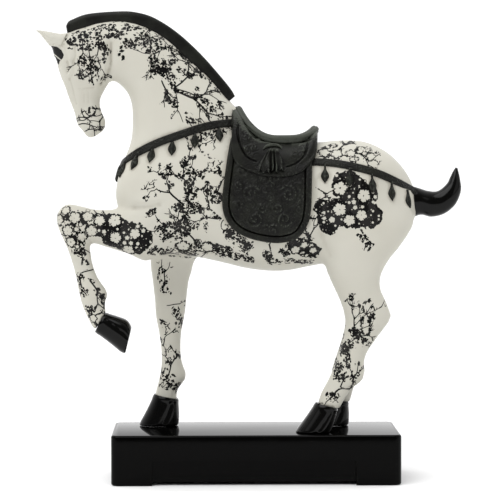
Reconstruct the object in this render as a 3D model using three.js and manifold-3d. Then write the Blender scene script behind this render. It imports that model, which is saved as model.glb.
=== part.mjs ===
// A prancing horse in cast resin, after old tomb figures, on its own low lacquered plinth.
// Lengths are in millimetres. +Z is up, the horse faces -X, and its near side is -Y.
// The origin is on the surface that the plinth stands on, under the middle of the figure.
import * as THREE from 'three';
import { mergeVertices } from 'three/addons/utils/BufferGeometryUtils.js';
import Module from 'manifold-3d';

const wasm = await Module();
wasm.setup();

// Driving sizes of the plinth.
const PLINTH_LENGTH = 262;
const PLINTH_DEPTH = 100;
const PLINTH_HEIGHT = 45.6;
const PLINTH_CENTRE_X = 5;
const PLINTH_CORNER = 7;
const PLINTH_EDGE = 2;
const PANEL_LENGTH = 184;
const PANEL_CENTRE_X = 3;
const PANEL_HEIGHT = 22.6;
const PANEL_RECESS = 6;
const FOOT_LIFT = 3;

// Driving sizes of the horse.
const HOOF_GAP = 0.3;
const SOLE_Z = PLINTH_HEIGHT + HOOF_GAP;
const FORE_Y = 26;
const HIND_Y = 26;
const RAISED_Y = 24;
const EYE = { x: -173, y: 13, z: 388, long: 7, deep: 5.5, high: 5, slant: 0.6 };
const EAR_Y = 9;
const STRAP_WIDTH = 7.3;
const STRAP_HEIGHT = 2;
const LEAF_LENGTH = 16;
const LEAF_WIDTH = 5.6;
const STALK_WIDTH = 0.5;
const LEAF_DROOP = 1.2;
const BLANKET_BORDER = 5.5;
const BLANKET_GROOVE = 1.4;
const BLANKET_HEIGHT = 3.6;
const GROOVE_HEIGHT = 2;
const BLANKET_STEPS = 18;
const CUT_REACH = 80;

const LEAST_HALF_WIDTH = 0.3;
const SAME_POINT = 0.0001;

// How full the ovals are across: 2 is an ellipse, and more is squarer.
const LIMB_FULLNESS = 2.15;
const BODY_FULLNESS = 2.2;
const SADDLE_FULLNESS = 2.3;
const HOOF_FULLNESS = 2.3;
const BLANKET_FULLNESS = 2.5;
const MANE_FULLNESS = 3;

// A section of the body or of a limb is
// [first edge x, z, second edge x, z, half width across, bias of the width to the second edge],
// and a limb's has one more value, how far its middle lies in towards the horse's middle plane.
const TRUNK = [
  [-122.5, 263, -122.5, 256, 4, 0], // point of the breast
  [-120, 279, -119, 243, 20, 0],
  [-112, 298, -111, 226, 31, 0], // breast
  [-91, 318, -92, 208, 38, 0.06],
  [-66, 330, -66, 206, 40, 0.1], // shoulders
  [-32, 336, -32, 200.5, 41, 0.14], // withers
  [0, 322, 0, 193, 42, 0.12],
  [30, 311, 30, 191, 43, 0.1], // back
  [58, 309, 58, 196, 43, 0.06], // loins
  [86, 311, 86, 200, 42, 0],
  [107, 309, 107, 205, 40, -0.05], // croup
  [127, 299, 127, 212, 35, -0.08],
  [142, 283.5, 142, 222, 26, 0],
  [150, 268, 150, 234, 14, 0],
  [153.5, 254, 153.5, 245, 4, 0], // buttocks
];

const NECK = [
  [-2, 330, -90, 214, 36, 0.1], // root, inside the shoulders
  [-24, 354, -119, 253, 33, 0.15],
  [-39, 371, -118, 285, 28, 0.18],
  [-56, 386, -109, 308, 24, 0.18],
  [-73, 402, -107, 334, 21, 0.15],
  [-93, 414, -110, 351, 19, 0.1],
  [-115, 420, -119, 362, 17.5, 0.05],
  [-139, 418, -130, 368, 17, 0],
  [-158, 411, -139, 374, 14, 0], // poll
];

const HEAD = [
  [-152, 414, -124, 402, 11, 0],
  [-168, 408, -123, 391, 14.5, 0],
  [-180, 397, -124, 380, 17, 0.05], // brow
  [-176.5, 383, -126, 371, 17, 0.1], // cheek
  [-173.5, 371, -130, 361, 15, 0.12],
  [-169, 360, -135, 352, 12, 0.1],
  [-165, 348, -137, 345, 10, 0],
  [-160, 335, -135, 336, 10.5, 0],
  [-157.5, 324, -131.5, 328, 11, 0], // nostrils
  [-152.5, 315.5, -133, 321, 9.5, 0],
  [-147, 312, -138, 314.5, 4.5, 0], // lips
];

const TAIL = [
  [138, 272, 138, 232, 12, 0],
  [154, 267.5, 155, 242, 12, 0],
  [164, 264.5, 167, 240.5, 11, 0],
  [173, 264.5, 179, 243.5, 10, 0],
  [181, 271, 189, 252, 8.5, 0],
  [184, 277, 194, 264, 6.5, 0],
  [186.5, 282, 193.5, 274, 4.5, 0],
  [189, 286, 191, 285, 1.5, 0],
];

const MANE = [
  [-167.5, 416, -166, 407, 3.5, 0],
  [-164.5, 419.5, -163.5, 405, 5, 0],
  [-147, 426, -150, 411, 5.5, 0],
  [-119, 428.5, -121, 414, 5.5, 0],
  [-103, 427.5, -109, 413, 5.5, 0],
  [-87, 422.5, -96, 409, 5.5, 0],
  [-66.5, 409.5, -78, 398, 5.5, 0],
  [-45, 390, -57, 379, 5.5, 0],
  [-25, 367.5, -38, 357, 5.5, 0],
  [-13, 351.5, -26, 341, 5, 0],
];

const RAISED_FORELEG = [
  [-50, 280, -52, 222, 12, 0, 14], // inside the shoulder
  [-89, 258, -88, 201, 18, 0, 5], // elbow
  [-116, 249.5, -111, 208, 16, 0, 1],
  [-138, 248, -130, 214, 13.5, 0, 0], // forearm
  [-154, 251.5, -141, 217.5, 12.5, 0, 0],
  [-167, 253, -144, 218.5, 12.5, 0, 0],
  [-175, 244, -145.5, 217, 12, 0, 0], // knee
  [-174, 232, -145.5, 213, 11, 0, 0],
  [-167, 216, -144, 208, 10, 0, 0],
  [-162, 202, -143, 200, 9, 0, 0], // cannon
  [-158, 187, -138, 186, 9.5, 0, 0],
  [-155.5, 174, -129.5, 173, 11, 0, 0], // fetlock
  [-152, 160, -132, 162, 10, 0, 0],
  [-141.5, 138, -130, 155, 10.5, 0, 0], // coronet
];

const STANDING_FORELEG = [
  [-88, 268, -46, 268, 9, 0, 16], // inside the shoulder
  [-93, 224, -44, 220, 17, 0, 6],
  [-92, 198, -50, 198, 15.5, 0, 2], // elbow
  [-90, 181, -56, 181, 13.5, 0, 0],
  [-88, 164, -58, 164, 12.5, 0, 0], // forearm
  [-87, 148, -60, 148, 12, 0, 0], // knee
  [-84, 132, -63, 132, 10, 0, 0],
  [-82, 114, -63.5, 114, 8.7, 0, 0], // cannon
  [-82, 103, -62, 103, 9, 0, 0],
  [-83.5, 91, -58.5, 91, 11, 0, 0], // fetlock
  [-87, 78, -67, 78, 10, 0, 0], // pastern
  [-89, 68, -67, 67, 10.5, 0, 0], // coronet
];

const HIND_LEG = [
  [72, 292, 122, 288, 6, 0, 14], // inside the croup
  [60, 266, 140, 262, 17, 0, 8],
  [59, 243, 150, 240, 20, 0, 5], // haunch
  [61, 222, 143.5, 223, 20, 0, 3],
  [66, 201, 127, 204, 17, 0, 1], // stifle
  [73, 183, 118, 187, 14.5, 0, 0],
  [80, 168, 119, 173, 13, 0, 0], // gaskin
  [84, 157, 125, 160, 12, 0, 0],
  [86, 146, 127.5, 149, 11.5, 0, 0], // hock
  [85, 134, 117, 134, 10, 0, 0],
  [80.5, 118, 105.5, 117, 9.2, 0, 0], // cannon
  [75, 103, 103.5, 106, 11, 0, 0], // fetlock
  [70, 92, 100.5, 95, 11, 0, 0],
  [64, 81, 91, 84, 10, 0, 0], // pastern
  [60.5, 69, 81, 67, 10.5, 0, 0], // coronet
];

// A hoof is [coronet front x, z, coronet back x, z, toe x, z, heel x, z].
const RAISED_HOOF = [-141.5, 137.5, -130.5, 155.5, -114, 115.5, -106.5, 146];
const STANDING_HOOF = [-88, 75, -64.5, 70, -103.5, SOLE_Z, -65.5, SOLE_Z];
const HIND_HOOF = [59.5, 73, 80, 67, 40, SOLE_Z, 73, SOLE_Z];
const CORONET_HALF = 12;
const SOLE_HALF = 14.5;
const HOOF_LEVELS = [0, 0.12, 0.5, 1];
const HOOF_NARROWING = 0.08;
const HOOF_SIDES = 14;

// The far hind leg is set back a little below the stifle, and more and more below the fetlock.
const FAR_HIND_SET = 3.2;
const FAR_HIND_STRIDE = 17;
const STRIDE_SWEEP = 1.2;
const THIGH_Z = 240;
const STIFLE_Z = 200;
const FETLOCK_Z = 106;

// The saddle, as sections across the horse from pommel to cantle.
const SADDLE = [
  [-18.5, 336, -18, 290, 20, 0.1],
  [-14, 340, -17, 284, 30, 0.1], // pommel
  [-8, 335, -12, 277, 34, 0.1],
  [0, 324, -4, 272, 36.5, 0.1],
  [9, 317, 8, 270, 38, 0.1],
  [22, 313.5, 22, 269, 39, 0.1], // seat
  [37, 311.5, 37, 270, 39, 0.1],
  [49, 313, 51, 275, 37, 0.1],
  [57, 318.5, 58, 281, 33, 0.1], // cantle
  [61.5, 320.5, 61, 288, 25, 0.1],
  [63.2, 319.5, 62, 296, 16, 0.1],
];
const SEAT_RIM_CENTRE_X = 25;
const SEAT_RIM_REACH = 36;
const SEAT_RIM_HALF = 27;
const SEAT_RIM_THICK = 3.4;
const SEAT_LOW_Z = 312;
const SEAT_RIM_STEPS = 20;
const SEAT_RIM_SIDES = 6;
const POMMEL_RISE = 27;
const CANTLE_RISE = 9;
const POMMEL_SWEEP = 2.2;
const CANTLE_SWEEP = 4;

// Lines that the straps follow, seen from the side: [x, z].
const BREAST_STRAP = [[-8, 327], [-36, 324], [-62, 316], [-86, 307], [-107, 295], [-126, 277]];
const CRUPPER_STRAP = [[50, 291], [75, 290], [104, 284], [126, 276], [158, 260]];
const BREAST_LEAVES = [0.14, 0.29, 0.45, 0.6, 0.74, 0.85, 0.95];
const CRUPPER_LEAVES = [0.16, 0.36, 0.55, 0.72, 0.86];

// The ears' sections, from inside the poll to the tip.
const EAR = [
  [-166, 408, -174, 392, 5, 0],
  [-173, 407.5, -181, 396, 5, 0],
  [-181, 408.8, -186.5, 402, 3.8, 0],
  [-188, 410, -190.5, 407, 2.2, 0],
  [-193.5, 410.6, -194, 410, 0.5, 0],
];

// The blanket's outline on the near side, from its front top round its round foot: [x, z].
const BLANKET = [
  [-19, 322], [-22, 296], [-26, 262], [-24.5, 245], [-17, 232],
  [-2, 223], [22, 218.5], [40, 222], [50, 232], [55.5, 248], [57, 284], [58, 309],
];

// One value between four evenly spaced ones, on a smooth curve through the middle two.
function smooth(before, start, end, after, t) {
  const bend = 2 * before - 5 * start + 4 * end - after;
  const twist = 3 * start - before - 3 * end + after;
  return start + 0.5 * t * (end - before + t * (bend + t * twist));
}

// The given sections with further ones between them, on smooth curves through all of them.
function refine(sections, steps) {
  const at = (i) => sections[Math.min(Math.max(i, 0), sections.length - 1)];
  const fine = [];
  for (let i = 0; i + 1 < sections.length; i++) {
    for (let step = 0; step < steps; step++) {
      const t = step / steps;
      fine.push(at(i).map((start, k) => smooth(at(i - 1)[k], start, at(i + 1)[k], at(i + 2)[k], t)));
    }
  }
  fine.push(sections.at(-1));
  return fine;
}

// The points of one section, which is an oval across the line between its two edges.
function ringPoints([firstX, firstZ, secondX, secondZ, half, bias, inset = 0], y, sides, fullness) {
  const points = [];
  const soften = (value) => Math.sign(value) * Math.abs(value) ** (2 / fullness);
  for (let i = 0; i < sides; i++) {
    const turn = (2 * Math.PI * i) / sides;
    const along = soften(Math.cos(turn));
    const across = soften(Math.sin(turn)) * Math.max(half, LEAST_HALF_WIDTH) * (1 - bias * along);
    points.push(new THREE.Vector3(
      (firstX + secondX) / 2 + (along * (firstX - secondX)) / 2,
      y - Math.sign(y) * inset + across,
      (firstZ + secondZ) / 2 + (along * (firstZ - secondZ)) / 2,
    ));
  }
  return points;
}

// A closed skin over rings of equally many points, with a fan over each end.
function skin(rings, closed = false) {
  const sides = rings[0].length;
  const points = rings.flat();
  const faces = [];
  const spans = closed ? rings.length : rings.length - 1;
  for (let r = 0; r < spans; r++) {
    const next = (r + 1) % rings.length;
    for (let i = 0; i < sides; i++) {
      const j = (i + 1) % sides;
      faces.push(r * sides + i, r * sides + j, next * sides + j);
      faces.push(r * sides + i, next * sides + j, next * sides + i);
    }
  }
  if (!closed) {
    const middle = (ring) => ring.reduce((sum, p) => sum.add(p), new THREE.Vector3()).divideScalar(sides);
    points.push(middle(rings[0]), middle(rings.at(-1)));
    const last = (rings.length - 1) * sides;
    for (let i = 0; i < sides; i++) {
      const j = (i + 1) % sides;
      faces.push(points.length - 2, j, i);
      faces.push(points.length - 1, last + i, last + j);
    }
  }
  const geometry = new THREE.BufferGeometry();
  geometry.setAttribute('position', new THREE.Float32BufferAttribute(points.flatMap((p) => p.toArray()), 3));
  geometry.setIndex(faces);
  return geometry;
}

// A geometry as a solid that can be joined and cut, turned outside out if it is inside out.
function solid(geometry) {
  const bare = geometry.clone();
  bare.deleteAttribute('normal');
  bare.deleteAttribute('uv');
  const merged = mergeVertices(bare, SAME_POINT);
  const position = merged.attributes.position;
  const index = Array.from(merged.index.array);
  let volume = 0;
  const corner = (k) => new THREE.Vector3().fromBufferAttribute(position, index[k]);
  for (let k = 0; k < index.length; k += 3) {
    volume += corner(k).dot(corner(k + 1).cross(corner(k + 2)));
  }
  if (volume < 0) index.reverse();
  return new wasm.Manifold(new wasm.Mesh({
    numProp: 3,
    vertProperties: new Float32Array(position.array),
    triVerts: new Uint32Array(index),
  }));
}

function meshOf(body, name, material) {
  const { vertProperties, triVerts } = body.getMesh();
  const geometry = new THREE.BufferGeometry();
  geometry.setAttribute('position', new THREE.BufferAttribute(vertProperties, 3));
  geometry.setIndex(new THREE.BufferAttribute(triVerts, 1));
  geometry.computeVertexNormals();
  const mesh = new THREE.Mesh(geometry, material);
  mesh.name = name;
  return mesh;
}

const joined = (solids) => solids.reduce((whole, next) => whole.add(next));

// A loft through sections at one distance from the middle plane. grow makes it stand proud all round.
function loft(sections, { y = 0, sides = 12, steps = 1, fullness = LIMB_FULLNESS, grow = 0 } = {}) {
  const rings = refine(sections, steps).map(([firstX, firstZ, secondX, secondZ, half, ...rest]) => {
    const length = Math.hypot(firstX - secondX, firstZ - secondZ);
    const outX = (grow * (firstX - secondX)) / length;
    const outZ = (grow * (firstZ - secondZ)) / length;
    const grown = [firstX + outX, firstZ + outZ, secondX - outX, secondZ - outZ, half + grow, ...rest];
    return ringPoints(grown, y, sides, fullness);
  });
  return solid(skin(rings));
}

// A bar of the given side outline that runs right across the horse.
function acrossBar(outline) {
  const shape = new THREE.Shape(outline.map(([x, z]) => new THREE.Vector2(x, z)));
  const bar = new THREE.ExtrudeGeometry(shape, { depth: 2 * CUT_REACH, bevelEnabled: false });
  bar.rotateX(Math.PI / 2);
  bar.translate(0, CUT_REACH, 0);
  return solid(bar);
}

const smoothLine = (points) => new THREE.CatmullRomCurve3(points.map(([x, z]) => new THREE.Vector3(x, 0, z)));

// The outline of a strap along a line in the side view.
function bandOutline(points, width, steps) {
  const line = smoothLine(points);
  const edge = (side) => Array.from({ length: steps + 1 }, (_, i) => {
    const p = line.getPoint(i / steps);
    const way = line.getTangent(i / steps);
    return [p.x - (side * way.z * width) / 2, p.z + (side * way.x * width) / 2];
  });
  return [...edge(1), ...edge(-1).reverse()];
}

// A hanging leaf with a short stalk, its top at [x, z].
function leafOutline([x, z], steps = 2) {
  const places = Array.from({ length: steps + 1 }, (_, i) => i / steps);
  const half = (t) => (STALK_WIDTH + LEAF_WIDTH * Math.sin(Math.PI * t ** LEAF_DROOP)) / 2;
  const edge = (side) => places.map((t) => [x + side * half(t), z - t * LEAF_LENGTH]);
  return [...edge(-1), ...edge(1).reverse()];
}

function leaves(strap, places) {
  const line = smoothLine(strap);
  return places.map((place) => {
    const hang = line.getPoint(place);
    return acrossBar(leafOutline([hang.x, hang.z]));
  });
}

// A smooth closed outline through the blanket's points, drawn in by a margin on all sides.
function blanketOutline(margin) {
  const line = new THREE.SplineCurve(BLANKET.map(([x, z]) => new THREE.Vector2(x, z)));
  const points = [];
  for (let i = 0; i <= BLANKET_STEPS; i++) {
    const p = line.getPoint(i / BLANKET_STEPS);
    const way = line.getTangent(i / BLANKET_STEPS);
    points.push([p.x - margin * way.y, p.y + margin * way.x]);
  }
  return points;
}

function hoof([frontX, frontZ, backX, backZ, toeX, toeZ, heelX, heelZ], y) {
  const rings = HOOF_LEVELS.map((t) => {
    const mix = (from, to) => from + (to - from) * t;
    const section = [
      mix(frontX, toeX), mix(frontZ, toeZ), mix(backX, heelX), mix(backZ, heelZ),
      mix(CORONET_HALF, SOLE_HALF), HOOF_NARROWING,
    ];
    return ringPoints(section, y, HOOF_SIDES, HOOF_FULLNESS);
  });
  return solid(skin(rings));
}

function eye(side) {
  const ball = new THREE.SphereGeometry(1, 8, 6);
  ball.scale(EYE.long, EYE.deep, EYE.high);
  ball.rotateY(EYE.slant);
  ball.translate(EYE.x, side * EYE.y, EYE.z);
  return solid(ball);
}

// The seat's rolled rim: a ring that rises to the pommel in front and to the cantle behind.
function seatRim() {
  const rings = [];
  for (let i = 0; i < SEAT_RIM_STEPS; i++) {
    const turn = (2 * Math.PI * i) / SEAT_RIM_STEPS;
    const toCantle = Math.cos(turn);
    const pommel = POMMEL_RISE * Math.max(0, -toCantle) ** POMMEL_SWEEP;
    const cantle = CANTLE_RISE * Math.max(0, toCantle) ** CANTLE_SWEEP;
    const centre = new THREE.Vector3(
      SEAT_RIM_CENTRE_X + SEAT_RIM_REACH * toCantle,
      SEAT_RIM_HALF * Math.sin(turn),
      SEAT_LOW_Z + pommel + cantle,
    );
    const out = new THREE.Vector3(toCantle / SEAT_RIM_REACH, Math.sin(turn) / SEAT_RIM_HALF, 0).normalize();
    const ring = [];
    for (let k = 0; k < SEAT_RIM_SIDES; k++) {
      const spin = (2 * Math.PI * k) / SEAT_RIM_SIDES;
      const point = centre.clone().addScaledVector(out, SEAT_RIM_THICK * Math.cos(spin));
      point.z += SEAT_RIM_THICK * Math.sin(spin);
      ring.push(point);
    }
    rings.push(ring);
  }
  return solid(skin(rings, true));
}

// A section of the far hind leg, from the near one's.
function movedBack([firstX, firstZ, secondX, secondZ, ...rest]) {
  const back = (z) => {
    const set = FAR_HIND_SET * THREE.MathUtils.clamp((THIGH_Z - z) / (THIGH_Z - STIFLE_Z), 0, 1);
    const fall = Math.max(0, (FETLOCK_Z - z) / (FETLOCK_Z - SOLE_Z));
    return set + FAR_HIND_STRIDE * fall ** STRIDE_SWEEP;
  };
  return [firstX + back(firstZ), firstZ, secondX + back(secondZ), secondZ, ...rest];
}

function movedBackHoof(section) {
  return [...movedBack(section.slice(0, 4)), ...movedBack(section.slice(4))];
}

function horse() {
  const body = { sides: 18, steps: 2, fullness: BODY_FULLNESS };
  const limbs = [
    [RAISED_FORELEG, -RAISED_Y],
    [STANDING_FORELEG, FORE_Y],
    [HIND_LEG, -HIND_Y],
    [HIND_LEG.map(movedBack), HIND_Y],
  ];
  const naked = joined([
    loft(TRUNK, body),
    loft(NECK, { ...body, sides: 16 }),
    loft(HEAD, { sides: 14 }),
    loft(TAIL, { sides: 10 }),
    loft(MANE, { sides: 8, steps: 2, fullness: MANE_FULLNESS }),
    ...limbs.map(([sections, y]) => loft(sections, { y })),
    hoof(RAISED_HOOF, -RAISED_Y),
    hoof(STANDING_HOOF, FORE_Y),
    hoof(HIND_HOOF, -HIND_Y),
    hoof(movedBackHoof(HIND_HOOF), HIND_Y),
    ...[-1, 1].map((side) => loft(EAR, { y: side * EAR_Y, sides: 8 })),
    ...[-1, 1].map(eye),
  ]);
  const strapSkin = joined([
    loft(TRUNK, { ...body, grow: STRAP_HEIGHT }),
    loft(NECK, { ...body, sides: 16, grow: STRAP_HEIGHT }),
    loft(HIND_LEG, { y: -HIND_Y, grow: STRAP_HEIGHT }),
    loft(HIND_LEG, { y: HIND_Y, grow: STRAP_HEIGHT }),
  ]);
  const straps = joined([
    acrossBar(bandOutline(BREAST_STRAP, STRAP_WIDTH, 9)),
    acrossBar(bandOutline(CRUPPER_STRAP, STRAP_WIDTH, 7)),
    ...leaves(BREAST_STRAP, BREAST_LEAVES),
    ...leaves(CRUPPER_STRAP, CRUPPER_LEAVES),
  ]).intersect(strapSkin);
  const padded = { ...body, fullness: BLANKET_FULLNESS };
  const blanketSkin = loft(TRUNK, { ...padded, grow: BLANKET_HEIGHT });
  const grooveSkin = loft(TRUNK, { ...padded, grow: GROOVE_HEIGHT });
  const border = acrossBar(blanketOutline(0)).subtract(acrossBar(blanketOutline(BLANKET_BORDER)));
  const field = acrossBar(blanketOutline(BLANKET_BORDER + BLANKET_GROOVE));
  const blanket = joined([
    acrossBar(blanketOutline(0)).intersect(grooveSkin),
    border.intersect(blanketSkin),
    field.intersect(blanketSkin),
  ]);
  const saddle = loft(SADDLE, { sides: 16, fullness: SADDLE_FULLNESS });
  return joined([naked, straps, blanket, saddle, seatRim()]);
}

function plinth() {
  const reach = PLINTH_LENGTH / 2 - PLINTH_EDGE;
  const depth = PLINTH_DEPTH / 2 - PLINTH_EDGE;
  const corner = PLINTH_CORNER - PLINTH_EDGE;
  const plan = new THREE.Shape();
  plan.moveTo(-reach + corner, -depth);
  plan.lineTo(reach - corner, -depth);
  plan.absarc(reach - corner, -depth + corner, corner, -Math.PI / 2, 0);
  plan.absarc(reach - corner, depth - corner, corner, 0, Math.PI / 2);
  plan.absarc(-reach + corner, depth - corner, corner, Math.PI / 2, Math.PI);
  plan.absarc(-reach + corner, -depth + corner, corner, Math.PI, 1.5 * Math.PI);
  const slab = new THREE.ExtrudeGeometry(plan, {
    depth: PLINTH_HEIGHT - 2 * PLINTH_EDGE,
    bevelThickness: PLINTH_EDGE,
    bevelSize: PLINTH_EDGE,
    bevelSegments: 2,
    curveSegments: 3,
  });
  slab.translate(PLINTH_CENTRE_X, 0, PLINTH_EDGE);
  let body = solid(slab);
  for (const side of [-1, 1]) {
    const panel = new THREE.BoxGeometry(PANEL_LENGTH, 2 * PANEL_RECESS, 2 * PANEL_HEIGHT);
    panel.translate(PANEL_CENTRE_X, (side * PLINTH_DEPTH) / 2, 0);
    body = body.subtract(solid(panel));
  }
  const half = PANEL_LENGTH / 2;
  const arch = [
    [-half - FOOT_LIFT, -FOOT_LIFT], [-half - FOOT_LIFT, 0], [-half, FOOT_LIFT],
    [half, FOOT_LIFT], [half + FOOT_LIFT, 0], [half + FOOT_LIFT, -FOOT_LIFT],
  ].map(([x, z]) => [x + PANEL_CENTRE_X, z]);
  return body.subtract(acrossBar(arch));
}

const cream = new THREE.MeshStandardMaterial({ color: 0xd9d6ca, roughness: 0.4, metalness: 0 });
const black = new THREE.MeshStandardMaterial({ color: 0x141411, roughness: 0.15, metalness: 0 });

const figure = new THREE.Group();
figure.add(meshOf(horse(), 'horse', cream));
figure.add(meshOf(plinth(), 'plinth', black));

export default figure;
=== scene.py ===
# %% [markdown]
# This lesson dresses the CAD model of a prancing horse on a plinth, a decorative figure in cast resin.
# The horse is one casting with its saddle, blanket, straps, mane, tail and hooves, so it becomes one
# mesh here too. The plinth is a second casting. Sizes below are in millimetres, as a modeller would
# measure them on the figure, and MM turns them into Blender's metres.

import math
import random

import bmesh
import bpy
import numpy as np
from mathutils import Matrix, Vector
from mathutils.bvhtree import BVHTree


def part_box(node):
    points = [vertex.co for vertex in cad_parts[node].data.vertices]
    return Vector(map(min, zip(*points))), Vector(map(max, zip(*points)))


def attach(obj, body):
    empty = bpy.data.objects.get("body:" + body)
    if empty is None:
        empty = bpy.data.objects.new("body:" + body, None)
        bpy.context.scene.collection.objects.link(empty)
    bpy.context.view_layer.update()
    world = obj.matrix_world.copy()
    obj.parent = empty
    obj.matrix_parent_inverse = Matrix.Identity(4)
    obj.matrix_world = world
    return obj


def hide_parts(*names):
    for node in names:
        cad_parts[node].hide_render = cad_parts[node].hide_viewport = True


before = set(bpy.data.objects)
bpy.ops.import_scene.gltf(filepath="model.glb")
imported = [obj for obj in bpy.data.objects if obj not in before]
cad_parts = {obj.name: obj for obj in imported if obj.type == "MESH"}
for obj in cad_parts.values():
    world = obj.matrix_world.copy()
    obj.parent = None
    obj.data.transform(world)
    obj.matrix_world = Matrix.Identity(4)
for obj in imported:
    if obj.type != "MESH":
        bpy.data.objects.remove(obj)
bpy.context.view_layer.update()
MM = 0.001
plinth_low, plinth_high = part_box("plinth")
print("plinth from", [round(c / MM, 1) for c in plinth_low], "to", [round(c / MM, 1) for c in plinth_high])

# %% [markdown]
# The photograph was taken from about two metres away, so the figure shows almost without perspective.
# A long lens gives the same view. The camera stands level with the saddle and looks a little down.

# %% Camera
CAMERA_PLACE = Vector((-44.7, -1950.0, 301.0)) * MM
CAMERA_TARGET = Vector((0.2, 0.0, 210.2)) * MM
FOCAL_PIXELS = 2127.0
IMAGE_PIXELS = 500.0
SENSOR_WIDTH = 36.0


def make_camera():
    data = bpy.data.cameras.new("camera")
    data.sensor_width = SENSOR_WIDTH
    data.lens = FOCAL_PIXELS / IMAGE_PIXELS * SENSOR_WIDTH
    data.clip_start = 0.05
    camera = bpy.data.objects.new("camera", data)
    camera.location = CAMERA_PLACE
    camera.rotation_euler = (CAMERA_TARGET - CAMERA_PLACE).to_track_quat("-Z", "Y").to_euler()
    bpy.context.scene.collection.objects.link(camera)
    bpy.context.scene.camera = camera
    return data.lens


print("lens", round(make_camera(), 1), "mm")

# %% [markdown]
# Nearly every part of the figure is a form that changes section along its length: a leg, the neck, a
# strap, the rolled edge of the seat. A sweep makes them all. It starts from a ring of points, extrudes
# the ring's edges again and again, and after each step places the new ring where its section lies.

# %% Sweeping a ring through sections
def smooth_rows(rows, steps):
    """Add rows between the given ones, on smooth curves through all of them."""
    rows = np.asarray(rows, float)
    before = np.vstack([rows[:1], rows[:-2]])
    after = np.vstack([rows[2:], rows[-1:]])
    fine = []
    for a, b, c, d in zip(before, rows[:-1], rows[1:], after):
        for t in np.arange(steps) / steps:
            fine.append(b + 0.5 * t * (c - a + t * (2 * a - 5 * b + 4 * c - d + t * (3 * (b - c) + d - a))))
    fine.append(rows[-1])
    return np.array(fine)


def sweep(bm, rows, place, sides, closed=False):
    """Extrude a ring from row to row. place(row, turn) gives a point of the ring in millimetres.

    The ring's edges are kept in a fixed order, so that each run gives the same mesh.
    """
    turn = bm.verts.layers.float.get("turn") or bm.verts.layers.float.new("turn")
    ring = bmesh.ops.create_circle(bm, segments=sides, radius=1.0)["verts"]
    for v in ring:
        v[turn] = math.atan2(v.co.y, v.co.x)
    edges = list(dict.fromkeys(e for v in ring for e in v.link_edges))
    first = list(edges)
    for number, row in enumerate(rows):
        if number:
            made = bmesh.ops.extrude_edge_only(bm, edges=edges)["geom"]
            ring = [g for g in made if isinstance(g, bmesh.types.BMVert)]
            known = set(ring)
            edges = [g for g in made if isinstance(g, bmesh.types.BMEdge) and known.issuperset(g.verts)]
        for v in ring:
            v.co = Vector(place(row, v[turn])) * MM
    if closed:
        bmesh.ops.bridge_loops(bm, edges=first + edges)
    else:
        bmesh.ops.edgeloop_fill(bm, edges=first)
        bmesh.ops.edgeloop_fill(bm, edges=edges)


def new_object(name, bm):
    bmesh.ops.recalc_face_normals(bm, faces=bm.faces)
    mesh = bpy.data.meshes.new(name)
    bm.to_mesh(mesh)
    bm.free()
    obj = bpy.data.objects.new(name, mesh)
    bpy.context.scene.collection.objects.link(obj)
    return obj


def apply_modifiers(obj):
    bpy.context.view_layer.update()
    graph = bpy.context.evaluated_depsgraph_get()
    shaped = obj.evaluated_get(graph)
    mesh = bpy.data.meshes.new_from_object(shaped, preserve_all_data_layers=True, depsgraph=graph)
    obj.modifiers.clear()
    obj.data = mesh
    return obj


def limb(bm, sections, y=0.0, sides=32, steps=4, fullness=2.15):
    """A rounded form through ovals: first edge x, z, second edge x, z, half width, bias, inset."""
    rows = smooth_rows([tuple(s) + (0,) * (7 - len(s)) for s in sections], steps)

    def place(row, turn):
        first_x, first_z, second_x, second_z, half, bias, inset = row
        turned = (math.cos(turn), math.sin(turn))
        along, across = (math.copysign(abs(c) ** (2 / fullness), c) for c in turned)
        return (
            (first_x + second_x + along * (first_x - second_x)) / 2,
            y - math.copysign(inset, y) + across * max(half, 0.3) * (1 - bias * along),
            (first_z + second_z + along * (first_z - second_z)) / 2,
        )

    sweep(bm, rows, place, sides)


# %% [markdown]
# The body is built as a sculptor blocks it out: trunk, neck, head and legs are separate ovals swept
# along each part, with their numbers read off a side view. A sculptor would then press the parts into
# one lump of clay. A voxel remesh does that here, and it gives even small faces to model on.

# %% Sections of trunk, neck and head
TRUNK = [
    (-122.5, 263, -122.5, 256, 4, 0),
    (-120, 279, -119, 243, 20, 0),
    (-112, 298, -111, 226, 31, 0),
    (-91, 318, -92, 208, 38, 0.06),
    (-66, 330, -66, 206, 40, 0.1),
    (-32, 336, -32, 200.5, 41, 0.14),
    (0, 322, 0, 193, 42, 0.12),
    (30, 311, 30, 191, 43, 0.1),
    (58, 309, 58, 196, 43, 0.06),
    (86, 311, 86, 200, 42, 0),
    (107, 309, 107, 205, 40, -0.05),
    (127, 299, 127, 212, 35, -0.08),
    (142, 283.5, 142, 222, 26, 0),
    (150, 268, 150, 234, 14, 0),
    (153.5, 254, 153.5, 245, 4, 0),
]
NECK = [
    (-2, 330, -90, 214, 36, 0.1),
    (-24, 354, -119, 253, 33, 0.15),
    (-39, 371, -118, 285, 28, 0.18),
    (-56, 386, -109, 308, 24, 0.18),
    (-73, 402, -107, 334, 21, 0.15),
    (-93, 414, -110, 351, 19, 0.1),
    (-115, 420, -119, 362, 17.5, 0.05),
    (-139, 418, -130, 368, 17, 0),
    (-158, 411, -139, 374, 14, 0),
]
HEAD = [
    (-152, 414, -124, 402, 11, 0),
    (-168, 408, -123, 391, 14.5, 0),
    (-180, 397, -124, 380, 17, 0.05),
    (-176.5, 383, -126, 371, 17, 0.1),
    (-173.5, 371, -130, 361, 15, 0.12),
    (-169, 360, -135, 352, 12, 0.1),
    (-165, 348, -137, 345, 10, 0),
    (-160, 335, -135, 336, 10.5, 0),
    (-157.5, 324, -131.5, 328, 11, 0),
    (-152.5, 315.5, -133, 321, 9.5, 0),
    (-147, 312, -138, 314.5, 4.5, 0),
]
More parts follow.
